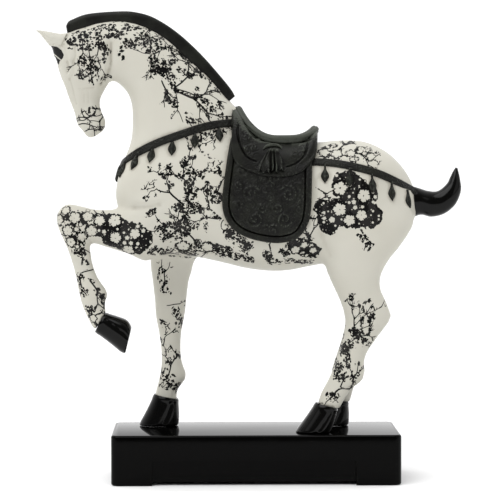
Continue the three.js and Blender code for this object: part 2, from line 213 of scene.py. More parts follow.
EAR = [
    (-166, 408, -174, 392, 5, 0),
    (-173, 407.5, -181, 396, 5, 0),
    (-181, 408.8, -186.5, 402, 3.8, 0),
    (-188, 410, -190.5, 407, 2.2, 0),
    (-193.5, 410.6, -194, 410, 0.5, 0),
]
EAR_Y = 9
print(len(TRUNK) + len(NECK) + len(HEAD), "sections from breast to lips")

# %% Sections of the legs
RAISED_FORELEG = [
    (-50, 280, -52, 222, 12, 0, 14),
    (-89, 258, -88, 201, 18, 0, 5),
    (-116, 249.5, -111, 208, 16, 0, 1),
    (-138, 248, -130, 214, 13.5, 0, 0),
    (-154, 251.5, -141, 217.5, 12.5, 0, 0),
    (-167, 253, -144, 218.5, 12.5, 0, 0),
    (-175, 244, -145.5, 217, 12, 0, 0),
    (-174, 232, -145.5, 213, 11, 0, 0),
    (-167, 216, -144, 208, 10, 0, 0),
    (-162, 202, -143, 200, 9, 0, 0),
    (-158, 187, -138, 186, 9.5, 0, 0),
    (-155.5, 174, -129.5, 173, 11, 0, 0),
    (-152, 160, -132, 162, 10, 0, 0),
    (-141.5, 138, -130, 155, 10.5, 0, 0),
]
STANDING_FORELEG = [
    (-88, 268, -46, 268, 9, 0, 16),
    (-93, 224, -44, 220, 17, 0, 6),
    (-92, 198, -50, 198, 15.5, 0, 2),
    (-90, 181, -56, 181, 13.5, 0, 0),
    (-88, 164, -58, 164, 12.5, 0, 0),
    (-87, 148, -60, 148, 12, 0, 0),
    (-84, 132, -63, 132, 10, 0, 0),
    (-82, 114, -63.5, 114, 8.7, 0, 0),
    (-82, 103, -62, 103, 9, 0, 0),
    (-83.5, 91, -58.5, 91, 11, 0, 0),
    (-87, 78, -67, 78, 10, 0, 0),
    (-89, 68, -67, 67, 10.5, 0, 0),
]
HIND_LEG = [
    (72, 292, 122, 288, 6, 0, 14),
    (60, 266, 140, 262, 17, 0, 8),
    (59, 243, 150, 240, 20, 0, 5),
    (61, 222, 143.5, 223, 20, 0, 3),
    (66, 201, 127, 204, 17, 0, 1),
    (73, 183, 118, 187, 14.5, 0, 0),
    (80, 168, 119, 173, 13, 0, 0),
    (84, 157, 125, 160, 12, 0, 0),
    (86, 146, 127.5, 149, 11.5, 0, 0),
    (85, 134, 117, 134, 10, 0, 0),
    (80.5, 118, 105.5, 117, 9.2, 0, 0),
    (75, 103, 103.5, 106, 11, 0, 0),
    (70, 92, 102.8, 94, 11, 0, 0),
    (64, 81, 91, 84, 10, 0, 0),
    (60.5, 69, 81, 67, 10.5, 0, 0),
]
FORE_Y = 26
HIND_Y = 26
RAISED_Y = 24
SOLE_Z = plinth_high.z / MM + 0.3
FAR_HIND_SET = 3.2
FAR_HIND_STRIDE = 17
STIFLE_Z = 240
SET_RUN = 40
FETLOCK_Z = 106


def step_back(x, z):
    """The far hind leg is the near one, set back below the stifle and stepping back at the foot."""
    sunk = min(max((STIFLE_Z - z) / SET_RUN, 0), 1)
    fall = max(0, (FETLOCK_Z - z) / (FETLOCK_Z - SOLE_Z))
    return x + FAR_HIND_SET * sunk + FAR_HIND_STRIDE * fall ** 1.2, z


far_hind_leg = [(*step_back(*s[:2]), *step_back(*s[2:4]), *s[4:]) for s in HIND_LEG]
print("soles at", round(SOLE_Z, 1), "mm")

# %% One skin over all the parts
VOXEL = 2.6


def block_out_body():
    bm = bmesh.new()
    limb(bm, TRUNK, sides=48, fullness=2.2)
    limb(bm, NECK, sides=40, fullness=2.2)
    limb(bm, HEAD)
    limb(bm, RAISED_FORELEG, -RAISED_Y)
    limb(bm, STANDING_FORELEG, FORE_Y)
    limb(bm, HIND_LEG, -HIND_Y)
    limb(bm, far_hind_leg, HIND_Y)
    for side in (-1, 1):
        limb(bm, EAR[:3], side * EAR_Y, sides=16)
    body = new_object("horse_figure", bm)
    remesh = body.modifiers.new("one skin", "REMESH")
    remesh.mode = "VOXEL"
    remesh.voxel_size = VOXEL * MM
    return apply_modifiers(body)


body = block_out_body()
print("body faces", len(body.data.polygons))

# %% [markdown]
# The remesh leaves small voxel steps, and the legs meet the trunk in sharp valleys. Both are smoothed
# the way a thumb smooths clay: lightly all over, and many times over the shoulders, haunches and the
# root of the neck. The ears' tips are held, because smoothing would wear them away.

# %% Smoothing by touch
# Where the parts are rubbed together: x, z and radius.
RUBBED = [
    (-82, 242, 30), (-104, 232, 16), (-62, 262, 24), (-80, 205, 14), (-50, 205, 16),
    (-62, 320, 30), (-95, 300, 28), (-30, 338, 18),
    (78, 268, 30), (70, 225, 18), (120, 268, 26), (134, 232, 20), (96, 250, 24), (66, 205, 12),
    (-124, 372, 9), (-128, 398, 12), (150, 256, 10), (-164, 403, 6),
]
LIGHT_TOUCH = 3
HEAVY_TOUCH = 36
# The ears' tips, which are held: in front of an x, with a soft limit, and above a z.
HELD_X = -176
HELD_FADE = 8
HELD_Z = 400


def mesh_points(mesh):
    points = np.empty(len(mesh.vertices) * 3, np.float32)
    mesh.vertices.foreach_get("co", points)
    return points.reshape(-1, 3) / MM


def set_mesh_points(mesh, points):
    mesh.vertices.foreach_set("co", (points * MM).astype(np.float32).ravel())
    mesh.update()


def mesh_normals(mesh):
    normals = np.empty(len(mesh.vertices) * 3, np.float32)
    mesh.vertex_normals.foreach_get("vector", normals)
    return normals.reshape(-1, 3)


def mesh_neighbours(mesh):
    """Each end of every edge, beside the edge's other end."""
    pairs = np.empty(len(mesh.edges) * 2, np.int32)
    mesh.edges.foreach_get("vertices", pairs)
    pairs = pairs.reshape(-1, 2)
    return np.concatenate([pairs[:, 0], pairs[:, 1]]), np.concatenate([pairs[:, 1], pairs[:, 0]])


def rub(mesh, strength, times):
    """Pull each point towards the middle of its neighbours, by its own strength."""
    points = mesh_points(mesh)
    ends, others = mesh_neighbours(mesh)
    count = np.bincount(ends, minlength=len(points))[:, None]
    for _ in range(times):
        middle = np.stack([np.bincount(ends, points[others, k], len(points)) for k in range(3)], 1) / count
        points += (middle - points) * strength[:, None]
    set_mesh_points(mesh, points)


def rub_body(mesh):
    points = mesh_points(mesh)
    held = np.clip((HELD_X - points[:, 0]) / HELD_FADE, 0, 1) * (points[:, 2] > HELD_Z)
    rub(mesh, 0.5 * (1 - held), LIGHT_TOUCH)
    points = mesh_points(mesh)
    strength = np.zeros(len(points))
    for x, z, radius in RUBBED:
        reach = ((points[:, 0] - x) ** 2 + (points[:, 2] - z) ** 2) / radius ** 2
        strength = np.maximum(strength, np.clip(1.3 * (1 - reach), 0, 1))
    rub(mesh, 0.5 * strength * (1 - held), HEAVY_TOUCH)


rub_body(body.data)
print("rubbed", len(RUBBED), "places")

# %% [markdown]
# The head carries the finest forms, and thin twigs and small blossoms are printed on the neck, shoulder,
# flank, knee, hock and fetlock. Only those places get faces of half the size. The anatomy is then pressed
# in as soft bumps and hollows along the surface normals: cheek, brow, nostrils, shoulder, elbow, stifle.
# Long shallow creases and ridges follow lines, such as the jaw's edge, the flank's fold and the sinews of
# knee and hock. The back is pressed down where the seat will cover it.

# %% Finer faces where the forms or the print are finest
# x, z and radius of the places with finer faces. Only what faces sideways is printed.
FINE_PLACES = [
    (-146, 326, 20), (-155, 360, 24), (-160, 388, 32), (-78, 378, 26), (-54, 352, 28), (-56, 270, 24),
    (-62, 235, 26), (90, 254, 27), (-112, 226, 18), (-150, 236, 26), (100, 142, 20), (-146, 154, 20),
]
LEAST_SIDEWAYS = 0.4


def refine_places(mesh):
    bm = bmesh.new()
    bm.from_mesh(mesh)

    def fine(v):
        x, _, z = v.co / MM
        close = any(math.hypot(x - at_x, z - at_z) < radius for at_x, at_z, radius in FINE_PLACES)
        return close and abs(v.normal.y) > LEAST_SIDEWAYS

    chosen = {v for v in bm.verts if fine(v)}
    edges = [e for e in bm.edges if chosen.issuperset(e.verts)]
    bmesh.ops.subdivide_edges(bm, edges=edges, cuts=1, use_grid_fill=True)
    bmesh.ops.triangulate(bm, faces=[f for f in bm.faces if len(f.verts) > 4])
    bm.to_mesh(mesh)
    bm.free()


refine_places(body.data)
print("body faces with finer places", len(body.data.polygons))

# %% Anatomy as bumps and creases
# x, distance from the middle plane, z, radius, height. Each is pressed on both sides of the horse.
BUMPS = [
    (-146, 16, 392, 15, 0.9), (-163, 12, 378, 8, -0.7), (-174, 11, 402, 5, 0.9), (-166, 14, 399, 4, 0.5),
    (-158, 12, 366, 6, 0.7), (-153, 11, 356, 5, 0.6), (-150, 12, 343, 8, -0.6), (-172, 9, 368, 7, -0.4),
    (-153, 10, 326, 4.5, 0.9), (-155.5, 10.5, 324.5, 1.7, -1.5), (-144, 10, 318, 5, 0.5),
    (-152.5, 0, 318, 7.5, -2.6), (-138, 0, 314, 5, -2.6),
    (-135, 14, 405, 8, -0.8), (-127, 15, 396, 6, -0.7),
    (-76, 40, 286, 20, 1.6), (-98, 30, 268, 12, -1.2), (-62, 40, 252, 18, 1.0), (-92, 36, 236, 12, 1.0),
    (-112, 14, 262, 13, 1.4), (-120, 0, 250, 8, -1.6), (-66, 36, 220, 12, -1.0),
    (-60, 26, 344, 30, 0.8), (-88, 24, 300, 16, -1.0), (20, 0, 312, 26, -7),
    (88, 42, 250, 22, 1.4), (112, 36, 280, 16, 0.9), (66, 40, 228, 12, -1.6), (128, 36, 240, 16, 0.8),
    (84, 38, 212, 12, 0.9), (108, 34, 206, 9, -0.8), (150, 0, 236, 8, -1.5),
]
# Side (-1 for the near one, 0 for both), a line of x, z, width and depth. A negative depth raises a ridge.
CREASES = [
    (0, [(-127, 399), (-126.5, 390), (-126.5, 381), (-128.5, 371), (-134, 361)], 2.2, 3.0),
    (0, [(-132, 398), (-131.5, 386), (-133, 374), (-139, 363)], 3.2, -0.9),
    (0, [(-170.6, 376), (-169.5, 370.5), (-165.8, 368), (-163, 371.5), (-162.2, 378.5), (-163.5, 384)],
     1.5, -1.2),
    (0, [(-166, 374), (-166, 381)], 2.2, 1.1),
    (0, [(-159.5, 398), (-158, 388), (-160.5, 380)], 1.8, 0.9),
    (0, [(-164, 366), (-161.3, 356.6), (-158.5, 343.8)], 1.7, 0.8),
    (0, [(-155, 357.5), (-142, 358.4)], 1.3, 0.5),
    (0, [(-151, 356), (-151, 346)], 1.2, 0.35),
    (0, [(-147, 356), (-147, 345)], 1.2, 0.35),
    (0, [(-138, 313), (-145, 317), (-151, 318.5)], 0.9, 0.9),
    (-1, [(-106, 250), (-94, 250.5), (-82, 253)], 2.6, 1.5),
    (-1, [(-104, 256), (-92, 257), (-82, 260)], 4.5, -0.8),
    (0, [(58, 274), (59, 258), (61, 240), (65, 222), (71, 206)], 3.0, 1.4),
    (-1, [(-160, 241), (-156, 232), (-155, 222)], 2.2, 0.7),
    (-1, [(-171, 226), (-162, 220), (-150, 222)], 2.6, 0.8),
    (0, [(93, 166), (101, 158), (107, 148)], 2.6, 0.7),
    (0, [(112, 166), (114, 156), (113, 146)], 2.6, -0.7),
]


def line_distance(points, line):
    """Distance in the side view from each point to a line of x, z places."""
    flat = points[:, [0, 2]]
    nearest = np.full(len(flat), np.inf)
    for start, end in zip(np.asarray(line, float)[:-1], np.asarray(line, float)[1:]):
        way = end - start
        t = np.clip(((flat - start) @ way) / (way @ way), 0, 1)
        nearest = np.minimum(nearest, np.hypot(*(flat - start - t[:, None] * way).T))
    return nearest


def press_anatomy(mesh):
    points = mesh_points(mesh)
    normals = mesh_normals(mesh)
    lift = np.zeros(len(points))
    for x, y, z, radius, height in BUMPS:
        for side in (-1, 1):
            reach = ((points - (x, side * y, z)) ** 2).sum(1) / radius ** 2
            lift += height * np.exp(-2 * reach) * (1 if y else 0.5)
    facing = np.clip(np.abs(normals[:, 1]) * 1.6 - 0.5, 0, 1)
    for side, line, width, depth in CREASES:
        near = facing * (points[:, 1] * side >= 0)
        lift -= depth * near * np.exp(-((line_distance(points, line) / width) ** 2))
    set_mesh_points(mesh, points + normals * lift[:, None])


press_anatomy(body.data)
print(len(BUMPS), "bumps and", len(CREASES), "creases")

# %% [markdown]
# The eyes are almond-shaped, black and bulging, under a soft upper lid. On a casting they are part of
# the head, so they are pressed out of its surface: the ball rises inside the almond, and the lid is a
# rounded ridge just outside it. The same distance to the almond's edge later guides the black paint.

# %% Eyes
EYE_OUTLINE = [
    (-184, 397), (-180.9, 396.2), (-175, 395.3), (-171, 392.4), (-168.8, 388), (-169.8, 385),
    (-172.6, 382.8), (-174, 379.3), (-177.3, 381.4), (-179.8, 386), (-184, 392),
]
EYE_LEAST_Y = 5
EYE_BULGE = 1.5
EYE_HALF = 4.5
LID_HEIGHT = 1.1
LID_BEYOND = 1.1
LID_HALF = 0.9
LID_FOOT_Z = 384
LID_RUN = 8
# Stands for any distance that is too large to matter.
FAR_AWAY = 9.0


def edge_distance(points, outline):
    """Distance to a closed outline in the side view: negative inside it."""
    ring = np.asarray([*outline, outline[0]], float)
    flat = points[:, [0, 2]]
    inside = np.zeros(len(flat), bool)
    for (x1, z1), (x2, z2) in zip(ring[:-1], ring[1:]):
        crosses = (flat[:, 1] < z1) != (flat[:, 1] < z2)
        level = x1 + (flat[:, 1] - z1) * (x2 - x1) / (z2 - z1 if z2 != z1 else 1)
        inside ^= crosses & (flat[:, 0] < level)
    return np.where(inside, -1, 1) * line_distance(points, ring)


def eye_distance(points):
    near = edge_distance(points, EYE_OUTLINE)
    return np.where(np.abs(points[:, 1]) > EYE_LEAST_Y, near, FAR_AWAY)


def press_eyes(mesh):
    points = mesh_points(mesh)
    near = eye_distance(points)
    ball = EYE_BULGE * np.sqrt(np.clip(-near / EYE_HALF, 0, 1))
    above = np.clip((points[:, 2] - LID_FOOT_Z) / LID_RUN, 0.35, 1)
    lid = LID_HEIGHT * above * np.exp(-(((near - LID_BEYOND) / LID_HALF) ** 2))
    set_mesh_points(mesh, points + mesh_normals(mesh) * (ball + lid)[:, None])


press_eyes(body.data)
print("eyes pressed out")

# %% [markdown]
# The roached mane is a smooth squared ridge along the crest, and the tail is a thick upturned horn of
# hair. Both are swept like the limbs. The hooves are swept too, with flatter sides, a band at the coronet
# and a furrow that parts the wall from the heel.

# %% Mane and tail
MANE = [
    (-167.5, 415, -166, 407, 3.0, 0),
    (-165.5, 418.6, -163.5, 405, 4.6, 0),
    (-161.5, 421, -160.5, 406, 5.3, 0),
    (-147, 426, -150, 411, 5.7, 0),
    (-119, 428.3, -121, 414, 5.7, 0),
    (-103, 427.3, -109, 413, 5.7, 0),
    (-87, 422.3, -96, 409, 5.7, 0),
    (-66.5, 409.3, -78, 398, 5.7, 0),
    (-45, 389.8, -57, 379, 5.7, 0),
    (-25, 367.3, -38, 357, 5.7, 0),
    (-16.5, 356.5, -28, 347, 5.4, 0),
    (-13.5, 351.0, -25, 341, 4.2, 0),
]
TAIL = [
    (138, 272, 138, 232, 12, 0),
    (154, 267.5, 155, 242, 12, 0),
    (164, 264.5, 167, 240.5, 11, 0),
    (173, 264.5, 179, 243.5, 10, 0),
    (181, 271, 189, 252, 8.5, 0),
    (184, 277, 194, 264, 6.5, 0),
    (186.5, 282, 193.5, 274, 4.5, 0),
    (189, 286, 191, 285, 1.2, 0),
]


def make_mane():
    bm = bmesh.new()
    limb(bm, MANE, sides=28, steps=6, fullness=3)
    return new_object("mane", bm)


def make_tail():
    bm = bmesh.new()
    limb(bm, TAIL, sides=40, steps=8)
    return new_object("tail", bm)


def make_ears():
    """The ears' thin tips are swept apart, because the remesh is too coarse for them."""
    bm = bmesh.new()
    for side in (-1, 1):
        limb(bm, EAR, side * EAR_Y, sides=28, steps=8)
    return new_object("ears", bm)


ears = make_ears()
mane = make_mane()
tail = make_tail()
print("mane", len(mane.data.polygons), "faces, tail", len(tail.data.polygons), "faces")

# %% Hooves
# Coronet front x, z, coronet back x, z, toe x, z, heel x, z.
RAISED_HOOF = (-141, 137.2, -132, 154.8, -114, 115.5, -106.5, 146)
STANDING_HOOF = (-88.5, 75, -66, 70.5, -103.5, SOLE_Z, -65.5, SOLE_Z)
HIND_HOOF = (59.5, 73, 79.5, 67.5, 40, SOLE_Z, 73, SOLE_Z)
CORONET_HALF = 11.3
SOLE_HALF = 14.5
TOE_FLARE = 0.045
HEEL_FLARE = 0.04
HOOF_SQUARENESS = 0.87
CORONET_SWELL = 0.45
CLEFT_DEPTH = 1.1


def make_hoof(name, corners, y, toe_round, heel_round):
    """Rings from coronet to sole. The ring's first point is the toe, its turn runs round to the heel."""
    front_x, front_z, back_x, back_z, toe_x, toe_z, heel_x, heel_z = corners

    def place(t, turn):
        top_swell = CORONET_SWELL * math.exp(-((t - 0.08) / 0.06) ** 2)
        foot = min(1, (1 - t) / 0.04) ** 0.5 if t > 0.96 else 1
        along = math.copysign(abs(math.cos(turn)) ** HOOF_SQUARENESS, math.cos(turn))
        across = math.copysign(abs(math.sin(turn)) ** HOOF_SQUARENESS, math.sin(turn))
        cleft = CLEFT_DEPTH * math.exp(-(((abs(turn) - 2.05 + 0.35 * t) / 0.09) ** 2)) * min(1, t * 6)
        half = CORONET_HALF + (SOLE_HALF - CORONET_HALF) * t ** 0.8 + top_swell - cleft
        first_x, first_z = front_x + (toe_x - front_x) * t, front_z + (toe_z - front_z) * t
        second_x, second_z = back_x + (heel_x - back_x) * t, back_z + (heel_z - back_z) * t
        reach = 1 + (top_swell - 0.8 * (1 - foot)) / 16
        if along > 0:
            reach -= TOE_FLARE * math.sin(math.pi * t) + toe_round * max(0, (t - 0.8) / 0.2) ** 2
        else:
            reach += HEEL_FLARE * math.sin(math.pi * t) - heel_round * max(0, (t - 0.7) / 0.3) ** 2
        return (
            (first_x + second_x + along * reach * (first_x - second_x)) / 2,
            y + across * (half - 0.6 * (1 - foot)) * (1 - 0.08 * along),
            (first_z + second_z + along * reach * (first_z - second_z)) / 2,
        )

    bm = bmesh.new()
    steps = [0, 0.03, 0.06, 0.09, 0.12, 0.17, 0.24, 0.33, 0.42, 0.52, 0.62, 0.72, 0.82, 0.9, 0.96, 0.985, 1]
    sweep(bm, steps, place, 56)
    return new_object(name, bm)


far_hoof = [c for x, z in zip(HIND_HOOF[::2], HIND_HOOF[1::2]) for c in step_back(x, z)]
hooves = [
    make_hoof("raised hoof", RAISED_HOOF, -RAISED_Y, 0.13, 0.3),
    make_hoof("standing hoof", STANDING_HOOF, FORE_Y, 0.05, 0.04),
    make_hoof("near hind hoof", HIND_HOOF, -HIND_Y, 0.05, 0.04),
    make_hoof("far hind hoof", far_hoof, HIND_Y, 0.05, 0.04),
]
print(len(hooves), "hooves")

# %% [markdown]
# A breast strap runs from the saddle round the chest, and a crupper strap runs back to the tail. From
# both hang small metal-like leaves. They are cast with the body, so they lie close on it. Each strap's
# line is known from the side, and a ray shot at the body finds how far out it lies, also round the chest.

# %% The straps' lines on the body
BREAST_STRAP = [(-8, 327), (-36, 324), (-62, 316), (-86, 307), (-107, 295), (-126, 277)]
CRUPPER_STRAP = [(50, 291), (75, 290), (104, 284), (126, 276), (158, 260)]
CHEST_CENTRE_X = -70
STRAP_WIDTH = 7.3
STRAP_HEIGHT = 2.0
STRAP_SUNK = 3
FAR_OUT = 120


def find_surface(obj):
    bm = bmesh.new()
    bm.from_mesh(obj.data)
    tree = BVHTree.FromBMesh(bm)
    bm.free()
    return tree


skin = find_surface(body)


def cast_side(tree, x, z, side):
    """The point and normal of the surface seen from one side at x, z."""
    start = Vector((x, side * FAR_OUT, z)) * MM
    place, normal, *_ = tree.ray_cast(start, Vector((0, -side, 0)))
    return (place / MM, normal) if place else (Vector((x, 0, z)), Vector((0, side, 0)))


def cast_chest(tree, angle, z):
    """The point and normal of the surface met by a level ray from outside at an angle round the chest."""
    way = Vector((-math.cos(angle), math.sin(angle), 0))
    start = (Vector((CHEST_CENTRE_X, 0, z)) + way * FAR_OUT) * MM
    place, normal, *_ = tree.ray_cast(start, -way)
    return place / MM, normal


def strap_line(points):
    return smooth_rows(points, 12)


def breast_path():
    """Points and normals from the near side of the saddle round the chest to the far side."""
    line = strap_line(BREAST_STRAP)[::-1]
    height = lambda x: float(np.interp(x, line[:, 0], line[:, 1]))
    path = []
    for x in np.arange(-8, CHEST_CENTRE_X, -3.0):
        path.append(cast_side(skin, x, height(x), -1))
    for angle in np.linspace(-math.pi / 2, 0, 28):
        z = height(CHEST_CENTRE_X)
        for _ in range(6):
            place, normal = cast_chest(skin, angle, z)
            z = 0.5 * (z + height(place.x))
        path.append((place, normal))
    far = [(Vector((p.x, -p.y, p.z)), Vector((n.x, -n.y, n.z))) for p, n in path[-2::-1]]
    return path + far


def crupper_path(side):
    return [cast_side(skin, x, z, side) for x, z in strap_line(CRUPPER_STRAP)[::2]]


def evened(path, rounds=3):
    """The path with its places and normals averaged along it, so the strap runs smoothly."""
    places = np.array([p for p, n in path])
    normals = np.array([n for p, n in path])
    for _ in range(rounds):
        for values in (places, normals):
            values[1:-1] = (values[:-2] + 2 * values[1:-1] + values[2:]) / 4
    normals /= np.linalg.norm(normals, axis=1)[:, None]
    along = np.gradient(places, axis=0)
    across = np.cross(normals, along)
    across /= np.linalg.norm(across, axis=1)[:, None]
    return places, normals, across


def make_strap(name, path):
    """A band with rounded edges. The ring's upper half is the outside, its lower half is sunk."""
    places, normals, across = evened(path)

    def place(number, turn):
        out, side = math.sin(turn), math.cos(turn)
        side = math.copysign(abs(side) ** 0.45, side)
        out = abs(out) ** 0.5 * STRAP_HEIGHT if out > 0 else out * STRAP_SUNK
        return places[number] + across[number] * side * STRAP_WIDTH / 2 + normals[number] * out

    bm = bmesh.new()
    sweep(bm, range(len(path)), place, 20)
    return new_object(name, bm)


breast = breast_path()
strap_objects = [make_strap("breast strap", breast)]
strap_objects += [make_strap("crupper strap", crupper_path(side)) for side in (-1, 1)]
print("breast strap of", len(breast), "places")

# %% Hanging leaves
# x, z and how far the tip swings towards the tail, for each leaf.
BREAST_LEAVES = [
    (-29, 319, 0), (-49, 316, -0.04), (-69, 309, -0.06), (-88, 301, -0.18), (-102, 293, -0.3),
    (-111, 287, -0.2), (-118, 281, 0),
]
CRUPPER_LEAVES = [(67, 288, 0), (89, 285, 0), (109, 280, 0.03), (127, 273, -0.05), (142, 266, -0.08)]
LEAF_LENGTH = 17.5
LEAF_WIDTH = 6.6
LEAF_DOME = 1.9
LEAF_DEPTH = 3.2
STALK = 0.16
STALK_HALF = 0.9


def leaf_half(t):
    """Half the width of a leaf at t from its top: a stalk that widens into a drop with a point."""
    drop = max(0, (t - STALK) / (1 - STALK))
    return STALK_HALF * (1 - drop) + LEAF_WIDTH / 2 * math.sin(math.pi * drop ** 1.15) ** 1.35


def close_sheet(bm):
    """Close a sheet by a copy of itself, and give back the copy's points, which still lie on the sheet."""
    made = bmesh.ops.extrude_face_region(bm, geom=bm.faces[:], use_keep_orig=True)["geom"]
    return [g for g in made if isinstance(g, bmesh.types.BMVert)]


def make_leaf(place, normal, lean):
    """A small grid laid on the body below its place, domed in the middle, and given a thickness."""
    down = Vector((lean, 0, -1))
    down = (down - normal * down.dot(normal)).normalized()
    across = normal.cross(down)
    bm = bmesh.new()
    bmesh.ops.create_grid(bm, x_segments=6, y_segments=18, size=1)
    for v in bm.verts:
        t = (1 - v.co.y) / 2
        flat = place + down * (t * LEAF_LENGTH) + across * (v.co.x * leaf_half(t))
        ground, outward, *_ = skin.find_nearest(flat * MM)
        dome = LEAF_DOME * math.sqrt(max(0, 1 - v.co.x ** 2)) + 0.35 * (abs(v.co.x) < 0.1) * (t > STALK)
        v.co = ground + outward * (0.4 + dome * min(1, 0.5 + leaf_half(t) / 3)) * MM
    for v in close_sheet(bm):
        v.co -= normal * LEAF_DEPTH * MM
    return new_object("leaf", bm)


leaf_objects = []
chest = np.array([p for p, n in breast])
for x, z, lean in BREAST_LEAVES:
    for side in (-1, 1):
        half = [i for i, p in enumerate(chest) if p[1] * side > 0]
        nearest = min(half, key=lambda i: abs(chest[i][0] - x) + 0.2 * abs(chest[i][2] - z))
        place, normal = breast[nearest]
        leaf_objects.append(make_leaf(place, normal, lean))
leaf_objects.append(make_leaf(*breast[len(breast) // 2], 0.0))
for x, z, lean in CRUPPER_LEAVES:
    for side in (-1, 1):
        leaf_objects.append(make_leaf(*cast_side(skin, x, z, side), lean))
print(len(leaf_objects), "leaves")

# %% [markdown]
# The blanket hangs over the barrel with a round foot. It has a plain raised border, a furrow inside it,
# and a field of low scrolls. A flat grid becomes the blanket: its columns run along the outline and its
# rows run inwards, closer together where the border and the furrow need crisp edges.

# %% Scroll relief
def scroll(x, z, radius, turns, start, direction):
    """A spiral tendril as a line of x, z places, from its outer end to its eye."""
    steps = np.linspace(0, 1, 26)
    angle = start + direction * turns * 2 * math.pi * steps
    reach = radius * (1 - 0.88 * steps)
    return np.stack([x + reach * np.cos(angle), z + reach * np.sin(angle)], 1)


def relief_of(points, lines, width, height):
    """Rounded ridges along the lines, for points given in millimetres."""
    lift = np.zeros(len(points))
    for line in lines:
        low, high = line.min(0) - 3 * width, line.max(0) + 3 * width
        flat = points[:, [0, 2]]
        near = np.all((flat > low) & (flat < high), axis=1)
        ridge = height * np.exp(-((line_distance(points[near], line) / width) ** 2))
        lift[near] = np.maximum(lift[near], ridge)
    return lift


# %% Blanket
BLANKET_OUTLINE = [
    (-18, 312), (-21, 296), (-25.5, 262), (-24.5, 245), (-17, 232),
    (-2, 223), (22, 218.5), (40, 222), (49.5, 232), (54, 248), (55.2, 284), (56, 302),
]
BLANKET_CENTRE = (18, 254)
BLANKET_DEPTH = 9
BLANKET_CLEARANCE = 0.4
BORDER_HEIGHT = 3.0
BORDER_ROUND = 1.4
FURROW_INSET = 6.1
FURROW_HALF = 0.7
FURROW_DEPTH = 2.0
FIELD_INSET = 8.5
SCROLL_HEIGHT = 1.3
trunk_rows = smooth_rows(TRUNK, 12)


def barrel(x, z, grow, fullness=2.5):
    """How far out the trunk's side lies at x, z, when it is grown all round."""
    top, foot, half, bias = (np.interp(x, trunk_rows[:, 0], trunk_rows[:, k]) for k in (1, 3, 4, 5))
    along = np.clip((z - (top + foot) / 2) / ((top - foot) / 2 + grow), -0.995, 0.995)
    return (1 - np.abs(along) ** fullness) ** (1 / fullness) * (half + grow) * (1 - bias * along)


def lay_grid(columns, rows, spot):
    """A flat grid whose points go where spot(u, v) says. Columns and rows are counts."""
    bm = bmesh.new()
    bmesh.ops.create_grid(bm, x_segments=columns, y_segments=rows, size=1)
    for v in bm.verts:
        v.co = Vector(spot((v.co.x + 1) / 2, (v.co.y + 1) / 2)) * MM
    return bm


def thicken(bm, depth, axis):
    """Close a laid grid into a slab by sinking a copy of it towards an axis through x, z."""
    for v in close_sheet(bm):
        inward = Vector((0, -v.co.y, axis * MM - v.co.z)).normalized()
        v.co += inward * depth * MM


def lift_grid(bm, lift_at):
    """Move each point along its normal by what lift_at gives for all the points at once."""
    bm.normal_update()
    points = np.array([v.co for v in bm.verts]) / MM
    lift = lift_at(points)
    for v, up in zip(bm.verts, lift):
        outward = v.normal if v.normal.y * v.co.y > 0 else -v.normal
        v.co += outward * float(up) * MM


blanket_line = smooth_rows(BLANKET_OUTLINE, 16)
blanket_run = np.concatenate([[0], np.cumsum(np.hypot(*np.diff(blanket_line, axis=0).T))])
BLANKET_OUTLINE_FINE = [tuple(p) for p in blanket_line] + [(56, 330), (-18, 330)]
ROW_DISTANCES = [0, 0.25, 0.7, 1.3, 2.4, 3.6, 4.6, 5.1, 5.5, 6.1, 6.7, 7.2, 8.0]
BLANKET_COLUMNS = 186
BLANKET_ROWS = 37
# How far towards the middle the last row goes. A little short of it, so that no two points meet.
INNERMOST = 0.9993


def blanket_spot(u, v):
    """Along the outline with u, and inwards with v: first by set distances, then to the middle."""
    at = u * blanket_run[-1]
    x, z = (np.interp(at, blanket_run, blanket_line[:, k]) for k in (0, 1))
    ahead = [np.interp(at + 2, blanket_run, blanket_line[:, k]) for k in (0, 1)]
    behind = [np.interp(at - 2, blanket_run, blanket_line[:, k]) for k in (0, 1)]
    way = np.array(ahead) - behind
    way /= np.hypot(*way)
    number = v * BLANKET_ROWS
    last = len(ROW_DISTANCES) - 1
    reach = np.interp(number, range(last + 1), ROW_DISTANCES)
    x, z = x - way[1] * reach, z + way[0] * reach
    centre_x, centre_z = BLANKET_CENTRE
    share = max(0, (number - last) / (BLANKET_ROWS - last))
    x += (centre_x - x) * share * INNERMOST
    z += (max(z, centre_z) - z) * share * INNERMOST
    return x, -barrel(x, z, BLANKET_CLEARANCE), z


FIELD_SCROLLS = [
    (0, 262, 8, 1.6, 0.4, 1), (-8, 282, 7, 1.5, 2.6, -1), (4, 240, 7, 1.5, 3.6, 1),
    (-13, 252, 5, 1.3, 1.0, -1), (12, 276, 5.5, 1.4, 5.0, 1), (10, 250, 4.5, 1.3, 0.0, -1),
    (-12, 269, 4.5, 1.2, 4.2, 1), (14, 230, 5, 1.3, 2.2, -1),
]
ROSETTE = (17, 264)


def field_lines():
    """Each scroll and its mirror image in front of and behind the rosette, then the rosette's two rings."""
    lines = []
    middle_x, middle_z = ROSETTE
    for x, z, radius, turns, start, direction in FIELD_SCROLLS:
        lines.append(scroll(x, z, radius, turns, start, direction))
        lines.append(scroll(2 * middle_x - x, z, radius, turns, math.pi - start, -direction))
    for size in (5.5, 2.8):
        turn = np.linspace(0, 2 * math.pi, 60)
        petals = size * (0.75 + 0.25 * np.cos(6 * turn))
        lines.append(np.stack([middle_x + petals * np.cos(turn), middle_z + petals * np.sin(turn)], 1))
    return lines


